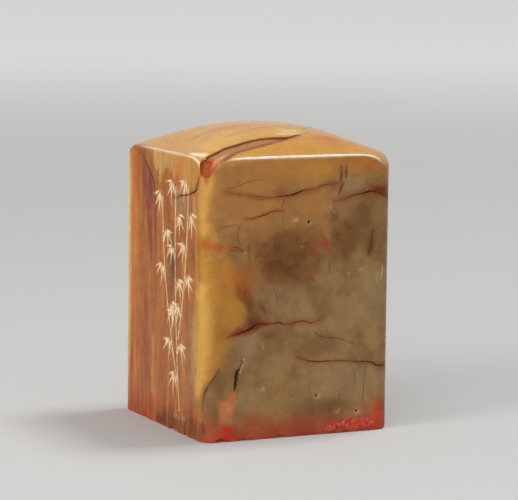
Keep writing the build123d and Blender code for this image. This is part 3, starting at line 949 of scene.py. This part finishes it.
# Bands: how far the edge wanders with the noise, fullness, strength, then the path's places and half widths
wall_bands = {
    "dirt_and_shade": [
        (0, 2.6, 0.85, [(6.15, 33.5, 0.26), (6.2, 32.6, 0.3), (6.15, 31.9, 0.22)]),
        (0, 2.4, 0.75, [(6.85, 33.4, 0.22), (6.9, 32.8, 0.24), (6.85, 32.3, 0.16)]),
        (0, 2, 0.7, [(6.4, 31.4, 0.22), (6.1, 30.7, 0.26), (5.8, 30.1, 0.15)])],
    "bister": [
        (0, 1.4, 0.7, [(10.7, 25.4, 0.4), (10.5, 23.6, 0.5), (10.2, 22.4, 0.3)])],
    "stain": [
        (0, 1.6, 0.95, [(3.6, 25.1, 0.3), (4.1, 24.4, 0.55), (4.6, 22.9, 0.3)]),
        (1, 1, 0.6, [(-12.6, 24.5, 0.6), (-10.2, 24.3, 0.6)])],
    "cream": [
        (0, 1.2, 0.5, [(-6.95, 10.2, 0.1), (-7.2, 9.3, 0.13), (-7.5, 8.6, 0.1)])],
    # lemon on the rounded near edge: yellow stone, brightened here as a painted highlight
    "lemon": [
        (1, 1.3, 1, [(-13.2, 6.2, 1.2), (-12.9, 10, 1.9), (-12.8, 15, 1.9), (-12.9, 19, 1.2)]),
        (1, 1.3, 0.8, [(-12.5, 26, 0.9), (-12.3, 32.5, 1.3)])],
    "umber": [
        (1, 1, 0.5, [(-10.4, 8.9, 0.7), (-11.4, 7, 0.8), (-12.4, 5.6, 0.6)])],
    "russet": [
        (1, 1.4, 1, [(10.4, 30.9, 0.5), (11.4, 30.4, 1), (13.4, 29.4, 1), (15, 29, 0.4)]),
        (1, 1.6, 1, [(-8.9, 13.1, 0.5), (-6.6, 14, 1.2), (-5.2, 14.5, 0.9), (-3.6, 14.4, 0.4)])],
    "tan": [
        (1, 1, 0.5, [(-12.2, 33.5, 0.7), (-6, 34.7, 0.5)])],
    "orange": [
        (1, 1, 0.85, [(-13, 24.6, 0.7), (-11.4, 24.4, 0.9), (-9.6, 24.1, 0.6), (-8.4, 23.8, 0.3)])],
    "amber": [
        (1.3, 1.5, 0.9, [(13.6, 33.2, 3), (24, 34, 4.4), (34.6, 33, 3.2)]),
        (1.3, 1.5, 0.9, [(38.2, 33.4, 3.4), (49, 34.2, 3.2), (59, 33, 5)])],
}
left_bands = {
    "russet": [
        (0.35, 2.4, 1, [(7.2, 34.6, 1.3), (6.3, 32.6, 2), (5.3, 30.2, 2.3), (4.6, 27.4, 1.5),
         (4.1, 21, 0.8)]),
        (1, 1, 0.6, [(6.8, 0, 3.4), (6.2, 8, 2.6), (5.6, 22, 1.6)])],
    "stain": [
        (0.35, 1.6, 0.45, [(6.9, 33.6, 0.9), (5.9, 31.6, 1.5), (5, 29.4, 1.2), (4.5, 26.8, 0.5)]),
        (1, 1, 0.75, [(10.6, 0, 1.1), (10.5, 5, 0.9), (10.3, 9, 0.5)])],
    "plum": [
        (0.35, 1.6, 0.7, [(6.4, 33.9, 0.6), (5.7, 31.9, 1.2), (4.9, 30, 1.3), (4.5, 28, 0.6)]),
        (1, 1.5, 0.95, [(1.5, 0.6, 1.4), (-5, 1, 2.2), (-10.6, 1.2, 1.8)])],
    "honey": [
        (1, 2.2, 0.95, [(11.8, 0, 1.3), (11.7, 34, 1.6)])],
    "umber": [
        (1, 1, 0.45, [(-1.8, 31, 1), (-2.2, 24, 1.5), (-2.5, 16, 1.2)])],
    "bister": [
        (1, 1, 0.45, [(6.6, 27.4, 0.4), (6.9, 24.6, 0.5)])],
    "tan": [
        (1, 1, 0.6, [(-9.6, 32.6, 1.4), (-9.9, 29.6, 0.9), (-10.2, 26, 0.5)]),
        (1, 1, 0.55, [(3.4, 3.6, 0.5), (3.3, 10.5, 0.9)])],
    "orange": [
        (1, 1.8, 1, [(9.6, 0, 1), (9.6, 12, 1), (9.7, 24, 1.3), (9.9, 34, 1.1)]),
        (1, 1, 0.4, [(6.4, 22, 0.6), (6.2, 12, 0.8), (6.6, 5, 0.6)])],
}
crown_bands = {
    # glint: a painted highlight on the top by the near corner
    "glint": [
        (0, 1.6, 0.72, [(-11.9, -7.4, 0.3), (-11.6, -8.9, 0.7), (-11.1, -9.75, 0.8)])],
    # Pale streaks by the front rim at the near corner: partly paler stone at the scar's end, partly a painted
    # highlight
    "tan": [
        (1, 1.4, 0.7, [(-10.9, -11.6, 1), (-9, -11, 1), (-6.5, -10.2, 0.4)])],
    "cream": [
        (1, 1, 0.4, [(-10.6, -12.2, 0.5), (-8.6, -11.4, 0.4)])],
}
# Areas: how far the edge wanders, its softness, strength and the outline
wall_areas = {
    "honey": [
        (0.22, 0.4, 0.8, [(-13.6, 5.9), (-12.9, 6.6), (-11.1, 8), (-10.3, 9.7), (-9.5, 11.5), (-9, 13.3),
         (-7, 14.9), (-6.6, 15.8), (-7.1, 16.8), (-8.2, 17.8), (-8.5, 18.6), (-8.3, 19.6), (-8.9, 21.6),
         (-10.4, 23), (-13.6, 23.6)]),
        (1, 1.3, 0.62, [(-13.6, 3.6), (-13.1, 5.6), (-12.3, 6.6), (-10.1, 9.3), (-8.7, 11.2), (-8.5, 13.2),
         (-7.9, 14), (-6.9, 15.1), (-6.3, 16.1), (-6.9, 17.2), (-7.9, 18.2), (-8, 20), (-8.7, 22.5),
         (-9.8, 23.6), (-10.8, 26), (-11.4, 30), (-11.6, 33.5), (-14, 33.5)]),
        (1.3, 0.9, 0.85, [(62, -2), (55.4, -2), (54.6, 5), (56.2, 9.4), (53.2, 13.4), (55.6, 18.4),
         (56.8, 26), (62, 30)]),
        (1.3, 0.9, 0.8, [(30.4, 3.2), (33, 7.4), (31.2, 12.6), (33.4, 17.4), (36.4, 16), (36.4, 3.2)])],
    "umber": [
        (0.25, 0.7, 0.9, [(-8.3, 20), (-6.9, 19.8), (-6, 18.2), (-5.5, 16.9), (-5.9, 15.6), (-6.5, 16),
         (-7, 17), (-8.1, 18.1)]),
        (0.3, 1.8, 0.75, [(4.8, 26.2), (6.4, 27.2), (8.3, 26.2), (8.5, 23.2), (7.2, 21.4), (4.9, 22)]),
        (0.35, 1.7, 0.78, [(-5.7, 22.9), (-4.8, 24.7), (-3, 25.9), (-0.8, 26.2), (1.2, 25.3), (2.4, 24),
         (3.9, 22.4), (3.4, 20.6), (2.4, 19.4), (-0.7, 18.7), (-3.8, 19.3), (-5.3, 21)]),
        (1.3, 2, 0.85, [(19.6, 21.4), (22.6, 23.6), (26.4, 22.6), (28.2, 19.2), (25.8, 16.4), (21, 17.2)]),
        (1.3, 2.2, 0.75, [(41.4, 24.6), (46.4, 25.8), (49.4, 22), (45.2, 18.2), (41.6, 19.8)])],
    "ash": [
        (0.3, 0.8, 0.85, [(7, 32.4), (9.3, 32.3), (9.5, 30.9), (7.6, 30.1), (6.6, 30.9)])],
    "vermilion": [
        (0.4, 0.4, 1, [(-10.5, 0.1), (-10.5, 1.3), (-9.6, 1.9), (-8.5, 1.9), (-8.4, 0.2)])],
    "orange": [
        (0.5, 0.9, 0.85, [(-10.3, 0.8), (-10.1, 3.2), (-10.5, 5.4), (-9.2, 5.2), (-8.3, 6.2), (-8.1, 5.4),
         (-8.6, 2.4), (-8.5, 0.6)])],
    "cream": [
        (0.5, 1, 0.16, [(-10.2, 2.4), (-10.4, 5.2), (-9.2, 5), (-8.3, 6), (-8.7, 2.2)])],
}


def paint_all(place, where, spots, bands, way=float):
    """Paints the spots and bands of one sheet. The function way turns a first coordinate into the sheet's."""
    for name, rows in spots.items():
        for a, b, wide, tall, fullness, strength in rows:
            paint(name, blob(place + drift, (way(a), b), (wide, tall)) * fullness, where, strength)
    for name, rows in bands.items():
        for wander, fullness, strength, path in rows:
            path = [(way(a), b, half) for a, b, half in path]
            paint(name, line(place + drift * wander, path) * fullness, where, strength)


def widened(rows, times, more):
    """A path with each width times a number, and more added."""
    return [(a, b, width * times + more) for a, b, width in rows]


paint_all(wall_place, on_wall, wall_spots, wall_bands)
paint_all(wall_place, on_wall, left_spots, left_bands, left_s)
paint_all(crown_place, on_crown, crown_spots, crown_bands)
for name, rows in wall_areas.items():
    for wander, soft, strength, outline in rows:
        paint(name, area(wall_place + drift * wander, outline, soft), strength=strength)
paint("bister", blob(wall_place + drift * 1.3, (23.4, 20.2), (2.2, 1.6)), strength=0.6)

# Painted highlight on the back edge of the left face, in lemon and glint, and the beige layer that hangs down
# its top in streaks
edge_light = np.stack([true_place[:, 0] + drift[:, 0] * 0.12, true_place[:, 1]], -1)
paint("lemon", line(edge_light, [(-35.4, 5, 0.8), (-35.3, 18, 1.4), (-35.3, 32, 1.4)]) * 2.5)
paint("glint", line(edge_light, [(-35.5, 10, 0.5), (-35.5, 24, 0.8), (-35.4, 32.4, 0.7)]) * 1.8, strength=0.5)
hanging = wall_place + np.stack([drift_a * 0.3, field(0.5, 33, 2, (1, 1, 5)) * 1.5], -1)
beige = [
    (4.6, 36), (3.2, 33.4), (1.6, 31.6), (-1.4, 32.4), (-3.4, 32.2), (-5.0, 31.6), (-8.2, 31.4),
    (-10.9, 31.9), (-10.9, 36)]
paint("tan", area(hanging, [(left_s(y), z) for y, z in beige], 1.2), strength=0.9)

# Seal paste soaked into the foot, and fresh along the bottom edge and on the seal face
off_middle = np.abs((wall_place + drift)[:, 0] - 6)
rise = 1.9 + 0.9 * field(3.0, 9) + 0.7 * np.clip(off_middle / 12, 0, 1)
paint("stain", ease(1.15 - height / mm / (rise * 1.55)))
paint("stain", ease(1.1 - height / mm / (rise * 0.9)))
low = ease(1 - height / mm / (0.35 + 0.35 * np.clip(field(1.2, 12) + 0.2, 0, 1)))
paint("vermilion", low)
paint("vermilion", on_seal * (0.75 + 0.25 * field(1.0, 13)), 1.0)

# The chip at the near corner, with a dark outline of painted shade
chip_share = np.sqrt((((points - np.array(chip_centre)) / np.array(chip_half))**2).sum(1))
near_chip = chip_share < 1.25
inner_depth = np.minimum(wall_depth, crown_depth)
on_chip = ease((inner_depth - 0.02) / 0.1) * near_chip
paint("orange", on_chip, 1.0)
paint("stain", on_chip, 1.0, 0.34)
paint("tan", on_chip * ease(field(0.5, 15) * 2 + 0.5), 1.0, 0.4)
paint("stain", blob(true_place, (-12.3, 31.7), (0.35, 0.8)) * 1.3, 1.0, 0.8)
# Painted shade round the chip's rim
paint("dirt_and_shade", ease(1 - np.abs(inner_depth - 0.06) / 0.07) * near_chip, 1.0, 0.5)
paint("vermilion", on_chip * ease(field(0.6, 14) * 2 + 0.2), 1.0, 0.62)

# Healed cracks with their iron stain, open cracks with grime in them, and painted shade deep in the fissure
halo_widths = {
    "upper_vein": 0.55, "right_vein": 0.7, "middle_vein": 0.35, "lower_vein": 0.75, "foot_vein": 0.5,
    "left_vein": 0.9, "corner_vein": 0.45}
cut_wall = ease(wall_depth / 0.05)
for name, spread in halo_widths.items():
    paint("russet", line(wall_place + drift * 0.4, widened(crack_paths[name], 0, spread)), strength=0.6)
for rows in hairlines + hidden_hairlines:
    paint("dirt_and_shade", line(wall_place, widened(rows, 0.7, 0.08)) * 2 * cut_wall, strength=0.9)
for rows in hidden_hairlines:
    paint("russet", line(wall_place + drift * 0.4, widened(rows, 3, 0.3)), strength=0.5)
for rows in pale_scratches:
    paint("cream", line(wall_place, widened(rows, 0.5, 0.08)) * 1.5 * cut_wall, strength=0.5)
in_cut = ease(crown_depth / 0.05) * (crown_depth < 0.5)
for rows in crown_cracks:
    paint("dirt_and_shade", line(crown_place, widened(rows, 0.7, 0.1)) * 2 * in_cut, 1.0)
paint("shade", line(wall_place, widened(fissure_path, 0.6, 0.5)) * 6 * ease(wall_depth / 0.12))
for rows in engraved:
    paint("tan", line(true_place, widened(rows, 0.5, 0.14)), strength=0.55)
    paint("cream", line(true_place, widened(rows, 0.6, 0.05)) * 2 * ease(wall_depth / 0.06), strength=0.8)

# The flake's scar, with painted shade under its upper step, and the peeling pale layer behind it
scar_outline = scar_upper + scar_lower[::-1]
paint("rose", area(crown_place + drift * 0.15, scar_outline, 0.35), on_crown, 0.95)
step_down = ease((crown_depth - 0.04) / 0.12) * (crown_depth < 0.5)
upper_line = [(a / mm, b / mm, 0.15) for a, b in upper_edge]
lower_line = [(a / mm, b / mm, 0.36) for a, b in lower_edge]
paint("shade", line(crown_place, upper_line) * 2.4 * step_down, 1.0, 0.85)
paint("dirt_and_shade", line(crown_place, lower_line) * 2 * on_crown, 1.0, 0.9)
peel_outline = [(3.2, -5.8), (3.1, -7.5), (1.9, -8.5), (0.2, -8.2), (-0.8, -7.3), (1.2, -6.2)]
peel_streaks = ease(0.55 + field(0.45, 31, 2, (4, 0.8, 1)) * 1.6)
paint("cream", area(crown_place + drift * 0.25, peel_outline, 0.8) * peel_streaks, on_crown, 0.6)

# Pits, three with painted shade in them, small dark strokes and faint pale flecks on the front
dark_pits = pit_places[1:2] + pit_places[3:4] + pit_places[5:]
for s_mm, z_mm in dark_pits:
    paint("shade", blob(wall_place, (s_mm, z_mm), (0.3, 0.3)) * 2 * ease(wall_depth / 0.08))
for s_mm, z_mm in pit_places:
    paint("cream", blob(wall_place, (s_mm + 0.1, z_mm - 0.12), (0.34, 0.26)) * 1.2, strength=0.3)
dark_strokes = [
    [(-0.4, 24.5, 0.12), (0.5, 24.1, 0.16), (1.4, 24.2, 0.14), (1.9, 24.9, 0.1)],
    [(-8.9, 23.75, 0.1), (-8.0, 23.75, 0.2), (-7.2, 23.5, 0.12)],
    [(-6.5, 24.3, 0.1), (-6.3, 23.3, 0.16), (-6.4, 22.4, 0.1)],
    [(-5.6, 22.9, 0.1), (-5.1, 22.8, 0.14)],
    [(-4.9, 17.2, 0.1), (-4.3, 16.2, 0.2), (-4.1, 15.6, 0.1)],
    [(2.0, 20.0, 0.08), (2.6, 19.4, 0.12)]]
for rows in dark_strokes:
    paint("dirt_and_shade", line(wall_place, rows) * 1.8, strength=0.6)
pale_flecks = [
    (0.9, 23.8, 0.16), (-7.0, 23.5, 0.2), (-6.6, 22.7, 0.16), (-5.8, 23.2, 0.14), (1.6, 24.6, 0.14),
    (-0.2, 27.3, 0.2), (5.3, 27.9, 0.16), (9.0, 20.4, 0.3), (7.4, 20.2, 0.2), (-4.4, 12.1, 0.2)]
for s_mm, z_mm, size in pale_flecks:
    paint("cream", blob(wall_place + drift * 0.6, (s_mm, z_mm), (size, size * 0.6)) * 1.4, strength=0.26)

# Painted highlights on the thin rims
near_top = height > rim_height - 3 * mm
rim_band = ease((0.25 - crown_depth) / 0.13) * ease((0.21 - wall_depth) / 0.11) * near_top
way_mm = way / mm
left_rim = rim_band * ease((-13.0 - way_mm) / 0.3)
paint("glint", rim_band * ease((way_mm + 10.6) / 3) * ease((11.4 - way_mm) / 1.5), 1.0, 0.9)
paint("glint", left_rim * ease((way_mm + 33.8) / 5), 1.0, 0.55)
paint("glint", left_rim * ease((way_mm + 16.2) / 1.0), 1.0, 0.95)

# Clouds on every side, stronger where the photograph doesn't reach
hidden = np.where((way_mm > 13.0) | (way_mm < -36.0), 1.0, 0.16)
clouds = [("umber", 1.7, 0.15, 0.6), ("honey", 1.9, 0.3, 0.7), ("ash", 1.8, 0.2, 0.6)]
for k, (name, contrast, cut_off, strength) in enumerate(clouds):
    paint(name, ease(field(8, 21 + k, 3, (1.3, 1.3, 0.8)) * contrast - cut_off) * hidden * strength)
paint("tan", ease(field(6, 24, 3) * 2 - 0.2) * 0.6, on_crown)
paint("umber", ease(field(5, 25, 3, (2.2, 0.7, 1)) * 2 - 0.5) * 0.5, on_crown)

for name, values in masks.items():
    set_layer(stone, name, values)

# Materials


def srgb(red, green, blue):
    """A colour given as 0 to 255 screen values, as the linear values that shaders use."""
    linear = [((v / 255 + 0.055) / 1.055) ** 2.4 for v in (red, green, blue)]
    return (*linear, 1.0)


class Surface:
    """One node material, built by calls that each add a node and return its output."""

    def __init__(self, name, roughness, specular=0.5, coat=0.0, coat_roughness=0.1, subsurface=0.0,
                 radius_mm=(1, 0.4, 0.2)):
        self.material = bpy.data.materials.new(name)
        self.material.use_nodes = True
        self.nodes = self.material.node_tree.nodes
        self.links = self.material.node_tree.links
        self.shader = self.nodes["Principled BSDF"]
        settings = {
            "Roughness": roughness, "Specular IOR Level": specular, "Coat Weight": coat,
            "Coat Roughness": coat_roughness, "Subsurface Weight": subsurface, "Subsurface Scale": mm,
            "Subsurface Radius": radius_mm}
        for socket, value in settings.items():
            self.shader.inputs[socket].default_value = value
        self.place = self.nodes.new("ShaderNodeTexCoord").outputs["Object"]

    def link(self, value, socket):
        if isinstance(value, bpy.types.NodeSocket):
            self.links.new(value, socket)
        else:
            socket.default_value = value

    def noise(self, size_mm, detail=2.0, stretch=(1, 1, 1), turn=(0, 0, 0)):
        """Noise from 0 to 1 with features of the size given."""
        mapping = self.nodes.new("ShaderNodeMapping")
        mapping.vector_type = "POINT"
        mapping.inputs["Rotation"].default_value = turn
        mapping.inputs["Scale"].default_value = [1 / (size_mm * mm * k) for k in stretch]
        texture = self.nodes.new("ShaderNodeTexNoise")
        texture.inputs["Scale"].default_value = 1.0
        texture.inputs["Detail"].default_value = detail
        self.links.new(self.place, mapping.inputs["Vector"])
        self.links.new(mapping.outputs["Vector"], texture.inputs["Vector"])
        return texture.outputs["Fac"]

    def mask(self, name):
        node = self.nodes.new("ShaderNodeAttribute")
        node.attribute_name = name
        return node.outputs["Fac"]

    def math(self, operation, a, b=0.0, c=0.0, clamp=False):
        node = self.nodes.new("ShaderNodeMath")
        node.operation = operation
        node.use_clamp = clamp
        for value, socket in zip((a, b, c), node.inputs):
            self.link(value, socket)
        return node.outputs[0]

    def span(self, value, low, high, to_low=0.0, to_high=1.0):
        node = self.nodes.new("ShaderNodeMapRange")
        node.interpolation_type = "SMOOTHSTEP"
        self.link(value, node.inputs["Value"])
        node.inputs["From Min"].default_value = low
        node.inputs["From Max"].default_value = high
        node.inputs["To Min"].default_value = to_low
        node.inputs["To Max"].default_value = to_high
        return node.outputs["Result"]

    def patches(self, size_mm, detail, low, high, to_low=0.0, to_high=1.0):
        """Noise with its range from low to high stretched out, as patches with soft edges."""
        return self.span(self.noise(size_mm, detail), low, high, to_low, to_high)

    def mix(self, share, a, b, blend="MIX"):
        node = self.nodes.new("ShaderNodeMix")
        node.data_type = "RGBA"
        node.blend_type = blend
        self.link(share, node.inputs[0])
        self.link(a, node.inputs[6])
        self.link(b, node.inputs[7])
        return node.outputs[2]

    def times(self, a, b):
        return self.math("MULTIPLY", a, b)

    def wash(self, colour, share, strength, tint):
        """A tint laid over the colour where the share is high."""
        return self.mix(self.times(share, strength), colour, srgb(*tint))

    def bump(self, level, depth_mm, strength=1.0):
        node = self.nodes.new("ShaderNodeBump")
        node.inputs["Strength"].default_value = strength
        node.inputs["Distance"].default_value = depth_mm * mm
        self.link(level, node.inputs["Height"])
        self.links.new(node.outputs["Normal"], self.shader.inputs["Normal"])

    def finish(self, colour, roughness=None):
        self.link(colour, self.shader.inputs["Base Color"])
        if roughness is not None:
            self.link(roughness, self.shader.inputs["Roughness"])
        return self.material


# Laid over the stone's ground in this order: mask, tint, how ragged its edge is, and strength
stone_layers = [
    ("amber", (177, 121, 64), 0.4, 0.9), ("tan", (216, 168, 88), 0.5, 0.8),
    ("ash", (156, 128, 92), 0.4, 0.75), ("honey", (196, 134, 44), 0.6, 0.85),
    ("lemon", (216, 168, 84), 0.3, 0.75), ("umber", (112, 62, 24), 0.3, 0.9),
    ("orange", (192, 92, 14), 0.6, 0.88), ("russet", (134, 50, 14), 0.5, 0.87),
    ("rose", (160, 92, 56), 0.5, 0.84), ("bister", (82, 40, 18), 0.3, 0.75),
    ("stain", (162, 58, 36), 0.9, 0.8), ("plum", (90, 38, 26), 0.6, 0.82),
    ("vermilion", (200, 48, 30), 1.1, 0.85), ("cream", (246, 216, 166), 0.6, 0.9),
    ("glint", (255, 240, 212), 0.0, 0.92), ("dirt_and_shade", (88, 46, 20), 0.5, 0.85),
    ("shade", (34, 16, 10), 0.3, 0.97)]


def soapstone():
    """Polished, slightly translucent stone: a ground colour, a layer for each mask, then the fine grain."""
    look = Surface("soapstone_polished", 0.3, specular=0.13, coat=0.05, coat_roughness=0.06, subsurface=0.3,
                   radius_mm=(1.0, 0.42, 0.18))
    ground = look.mix(look.patches(3.4, 2, 0.38, 0.64), srgb(150, 118, 76), srgb(130, 97, 58))
    colour = look.mix(look.mask("crown_place"), ground, srgb(198, 144, 70))
    colour = look.mix(look.mask("left_place"), colour, srgb(164, 86, 14))
    broken = look.math("SUBTRACT", look.noise(1.3, 3), 0.5)
    for name, tint, ragged, strength in stone_layers:
        mask = look.mask(name)
        rim = look.times(mask, look.math("SUBTRACT", 1.0, mask))
        torn = look.math("MULTIPLY_ADD", look.times(rim, broken), 5 * ragged, mask, clamp=True)
        colour = look.wash(colour, torn, strength, tint)
    # Fibres run up the left face and along the top
    bare = look.math("SUBTRACT", 1.0, look.mask("glint"), clamp=True)
    on_left, on_top = (look.times(look.mask(name), bare) for name in ("left_place", "crown_place"))
    fibres = look.noise(0.32, 3, (1, 1, 22))
    bands = look.noise(1.1, 2, (1, 1, 9))
    grain = look.noise(0.34, 4, (9, 1, 2), (0, 0, math.radians(-9)))
    streaks = [
        (on_left, fibres, 0.52, 0.72, 0.3, (108, 52, 16)), (on_left, fibres, 0.46, 0.3, 0.22, (214, 156, 66)),
        (on_left, bands, 0.5, 0.7, 0.26, (122, 60, 22)), (on_left, bands, 0.5, 0.34, 0.25, (206, 146, 62)),
        (on_top, grain, 0.55, 0.72, 0.36, (146, 86, 36))]
    for side, pattern, low, high, strength, tint in streaks:
        colour = look.wash(colour, look.times(look.span(pattern, low, high), side), strength, tint)
    flecks = look.times(look.patches(0.22, 1, 0.7, 0.78), look.patches(3.0, 2, 0.45, 0.65))
    colour = look.wash(colour, flecks, 0.4, (222, 178, 118))
    # Faint healed threads and clouded islands, as in any block of this stone
    ridge = look.math("ABSOLUTE", look.math("SUBTRACT", look.noise(3.4, 4), 0.5))
    thread = look.times(look.span(ridge, 0.012, 0.002), look.patches(4.2, 1, 0.45, 0.62))
    colour = look.wash(colour, thread, 0.17, (104, 58, 26))
    colour = look.wash(colour, look.patches(1.5, 2, 0.52, 0.56), 0.07, (206, 158, 92))
    mottle = look.patches(1.3, 3, 0.3, 0.7, 0.945, 1.055)
    grey = look.nodes.new("ShaderNodeCombineColor")
    for socket in grey.inputs[:3]:
        look.links.new(mottle, socket)
    colour = look.mix(1.0, colour, grey.outputs[0], "MULTIPLY")
    worn = look.patches(1.4, 3, 0.35, 0.75, 0.16, 0.3)
    rubbed = look.math("MULTIPLY_ADD", look.mask("stain"), 0.25, worn, clamp=True)
    look.bump(look.noise(0.6, 3), 0.008, 0.25)
    return look.finish(colour, rubbed)


def healed_crack():
    """Iron-stained filling, nearly black in the middle of the crack."""
    look = Surface("iron_vein", 0.42, specular=0.1)
    core = look.math("SUBTRACT", look.mask("core"), 0.4)
    thick = look.math("MULTIPLY_ADD", look.noise(0.5, 4), 0.8, core, clamp=True)
    colour = look.mix(thick, srgb(124, 68, 34), srgb(46, 18, 8))
    colour = look.wash(colour, look.patches(2.2, 2, 0.5, 0.75), 0.5, (118, 44, 28))
    look.bump(look.noise(0.2, 4), 0.03, 0.8)
    return look.finish(colour)


def engraving_dust():
    """Pale mineral dust that fills the engraved lines."""
    look = Surface("pale_dust", 0.7)
    colour = look.mix(look.patches(0.5, 4, 0.35, 0.7), srgb(252, 228, 196), srgb(220, 176, 130))
    look.bump(look.noise(0.12, 4), 0.03, 0.8)
    return look.finish(colour)


def vermilion_paste():
    """Oily cinnabar paste, brighter on its lumps."""
    look = Surface("cinnabar_paste", 0.46, coat=0.15, coat_roughness=0.2, subsurface=0.1,
                   radius_mm=(0.5, 0.1, 0.05))
    colour = look.mix(look.patches(0.45, 4, 0.35, 0.68), srgb(160, 32, 18), srgb(222, 74, 40))
    colour = look.mix(look.patches(0.9, 3, 0.6, 0.78), colour, srgb(110, 30, 24))
    look.bump(look.noise(0.15, 4), 0.05, 0.9)
    return look.finish(colour)


def shade_smoothly(obj, degrees):
    for face in obj.data.polygons:
        face.use_smooth = True
    obj.data.set_sharp_from_angle(angle=math.radians(degrees))


def dress(obj, material, nodes, degrees=32):
    """Gives a piece its material and its place in the frame, and hides the CAD nodes it stands for."""
    obj.data.materials.clear()
    obj.data.materials.append(material)
    obj.data.polygons.foreach_set("material_index", [0] * len(obj.data.polygons))
    shade_smoothly(obj, degrees)
    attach(obj, "root")
    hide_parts(*nodes)


left_place = ease((-way / mm - 12.3) / 1.6) * ease((36.6 + way / mm) / 1.6) * on_wall
set_layer(stone, "crown_place", on_crown)
set_layer(stone, "left_place", left_place)
dress(stone, soapstone(), ["seal_stone"])
vein_look = healed_crack()
dust_look = engraving_dust()
paste_look = vermilion_paste()
for name, obj in veins.items():
    dress(obj, vein_look, [name])
for name, obj in fills.items():
    dress(obj, dust_look, [name])
dress(paste, paste_look, ["seal_paste"])
dress(crust, paste_look, ["paste_crust"], degrees=50)

# Camera, at the photograph's place
camera_place = (-135.5 * mm, -288.1 * mm, 62.1 * mm)
camera_yaw = math.radians(25.26)
camera_pitch = math.radians(7.33)
camera_roll = math.radians(0.59)
camera_data = bpy.data.cameras.new("camera")
camera_data.sensor_width = 36
camera_data.lens = 180.2
camera = bpy.data.objects.new("camera", camera_data)
turn = Matrix.Rotation(-camera_yaw, 4, "Z") @ Matrix.Rotation(quarter_turn - camera_pitch, 4, "X")
camera.matrix_world = Matrix.Translation(camera_place) @ turn @ Matrix.Rotation(camera_roll, 4, "Z")
bpy.context.scene.collection.objects.link(camera)
bpy.context.scene.camera = camera


def softbox(name, direction, distance, size, power):
    """A square lamp in a direction from the seal's middle, facing it."""
    data = bpy.data.lights.new(name, "AREA")
    data.energy = power
    data.size = size
    obj = bpy.data.objects.new(name, data)
    target = Vector((0, 0, rim_height / 2))
    obj.location = target + Vector(direction).normalized() * distance
    obj.rotation_euler = (target - obj.location).to_track_quat("-Z", "Y").to_euler()
    bpy.context.scene.collection.objects.link(obj)


# Soft studio light
softbox("overhead", (0.36, 0.02, 0.92), distance=0.5, size=0.13, power=1.1)
softbox("left_key", (-0.9, -0.25, 0.5), distance=0.5, size=0.2, power=0.9)
softbox("near_fill", (-0.6, -0.8, 0.4), distance=0.7, size=0.4, power=1.5)
world = bpy.data.worlds.new("studio")
bpy.context.scene.world = world
world.use_nodes = True
room = world.node_tree.nodes["Background"]
room.inputs["Color"].default_value = (1, 1, 1, 1)
room.inputs["Strength"].default_value = 0.4
bpy.context.scene.view_settings.view_transform = "Standard"


def floor_material():
    """Pale floor. Away from the seal it is as bright as the backdrop that the camera sees."""
    look = Surface("studio_floor", 0.7, specular=0.15)
    look.shader.inputs["Base Color"].default_value = (0.62, 0.62, 0.61, 1)
    rays = look.nodes.new("ShaderNodeLightPath")
    seen = look.math("MAXIMUM", rays.outputs["Is Camera Ray"], rays.outputs["Is Glossy Ray"])
    seen = look.math("MAXIMUM", seen, rays.outputs["Is Transmission Ray"])
    length = look.nodes.new("ShaderNodeVectorMath")
    length.operation = "LENGTH"
    look.links.new(look.place, length.inputs[0])
    far = look.span(length.outputs["Value"], 0.08, 0.9, 0.0, 0.42)
    glow = look.nodes.new("ShaderNodeEmission")
    look.link(look.times(seen, far), glow.inputs["Strength"])
    both = look.nodes.new("ShaderNodeAddShader")
    look.links.new(look.shader.outputs[0], both.inputs[0])
    look.links.new(glow.outputs[0], both.inputs[1])
    look.links.new(both.outputs[0], look.nodes["Material Output"].inputs["Surface"])
    return look.material


def sweep():
    """A floor that curves up into a backdrop behind the seal."""
    side_reach = 4.0
    depth = 1.6
    rise = 2.4
    bend = 0.6
    bend_steps = 16
    profile = [(-side_reach, 0.0), (depth, 0.0)]
    for k in range(1, bend_steps + 1):
        a = quarter_turn * k / bend_steps
        profile.append((depth + bend * math.sin(a), bend - bend * math.cos(a)))
    profile.append((depth + bend, rise))
    c, n = math.cos(camera_yaw), math.sin(camera_yaw)
    places = [(x * c + y * n, -x * n + y * c, z) for x in (-side_reach, side_reach) for y, z in profile]
    size = len(profile)
    floor = add_mesh("sweep", places, [(k, k + size, k + size + 1, k + 1) for k in range(size - 1)])
    for face in floor.data.polygons:
        face.use_smooth = True
    floor.data.materials.append(floor_material())


sweep()
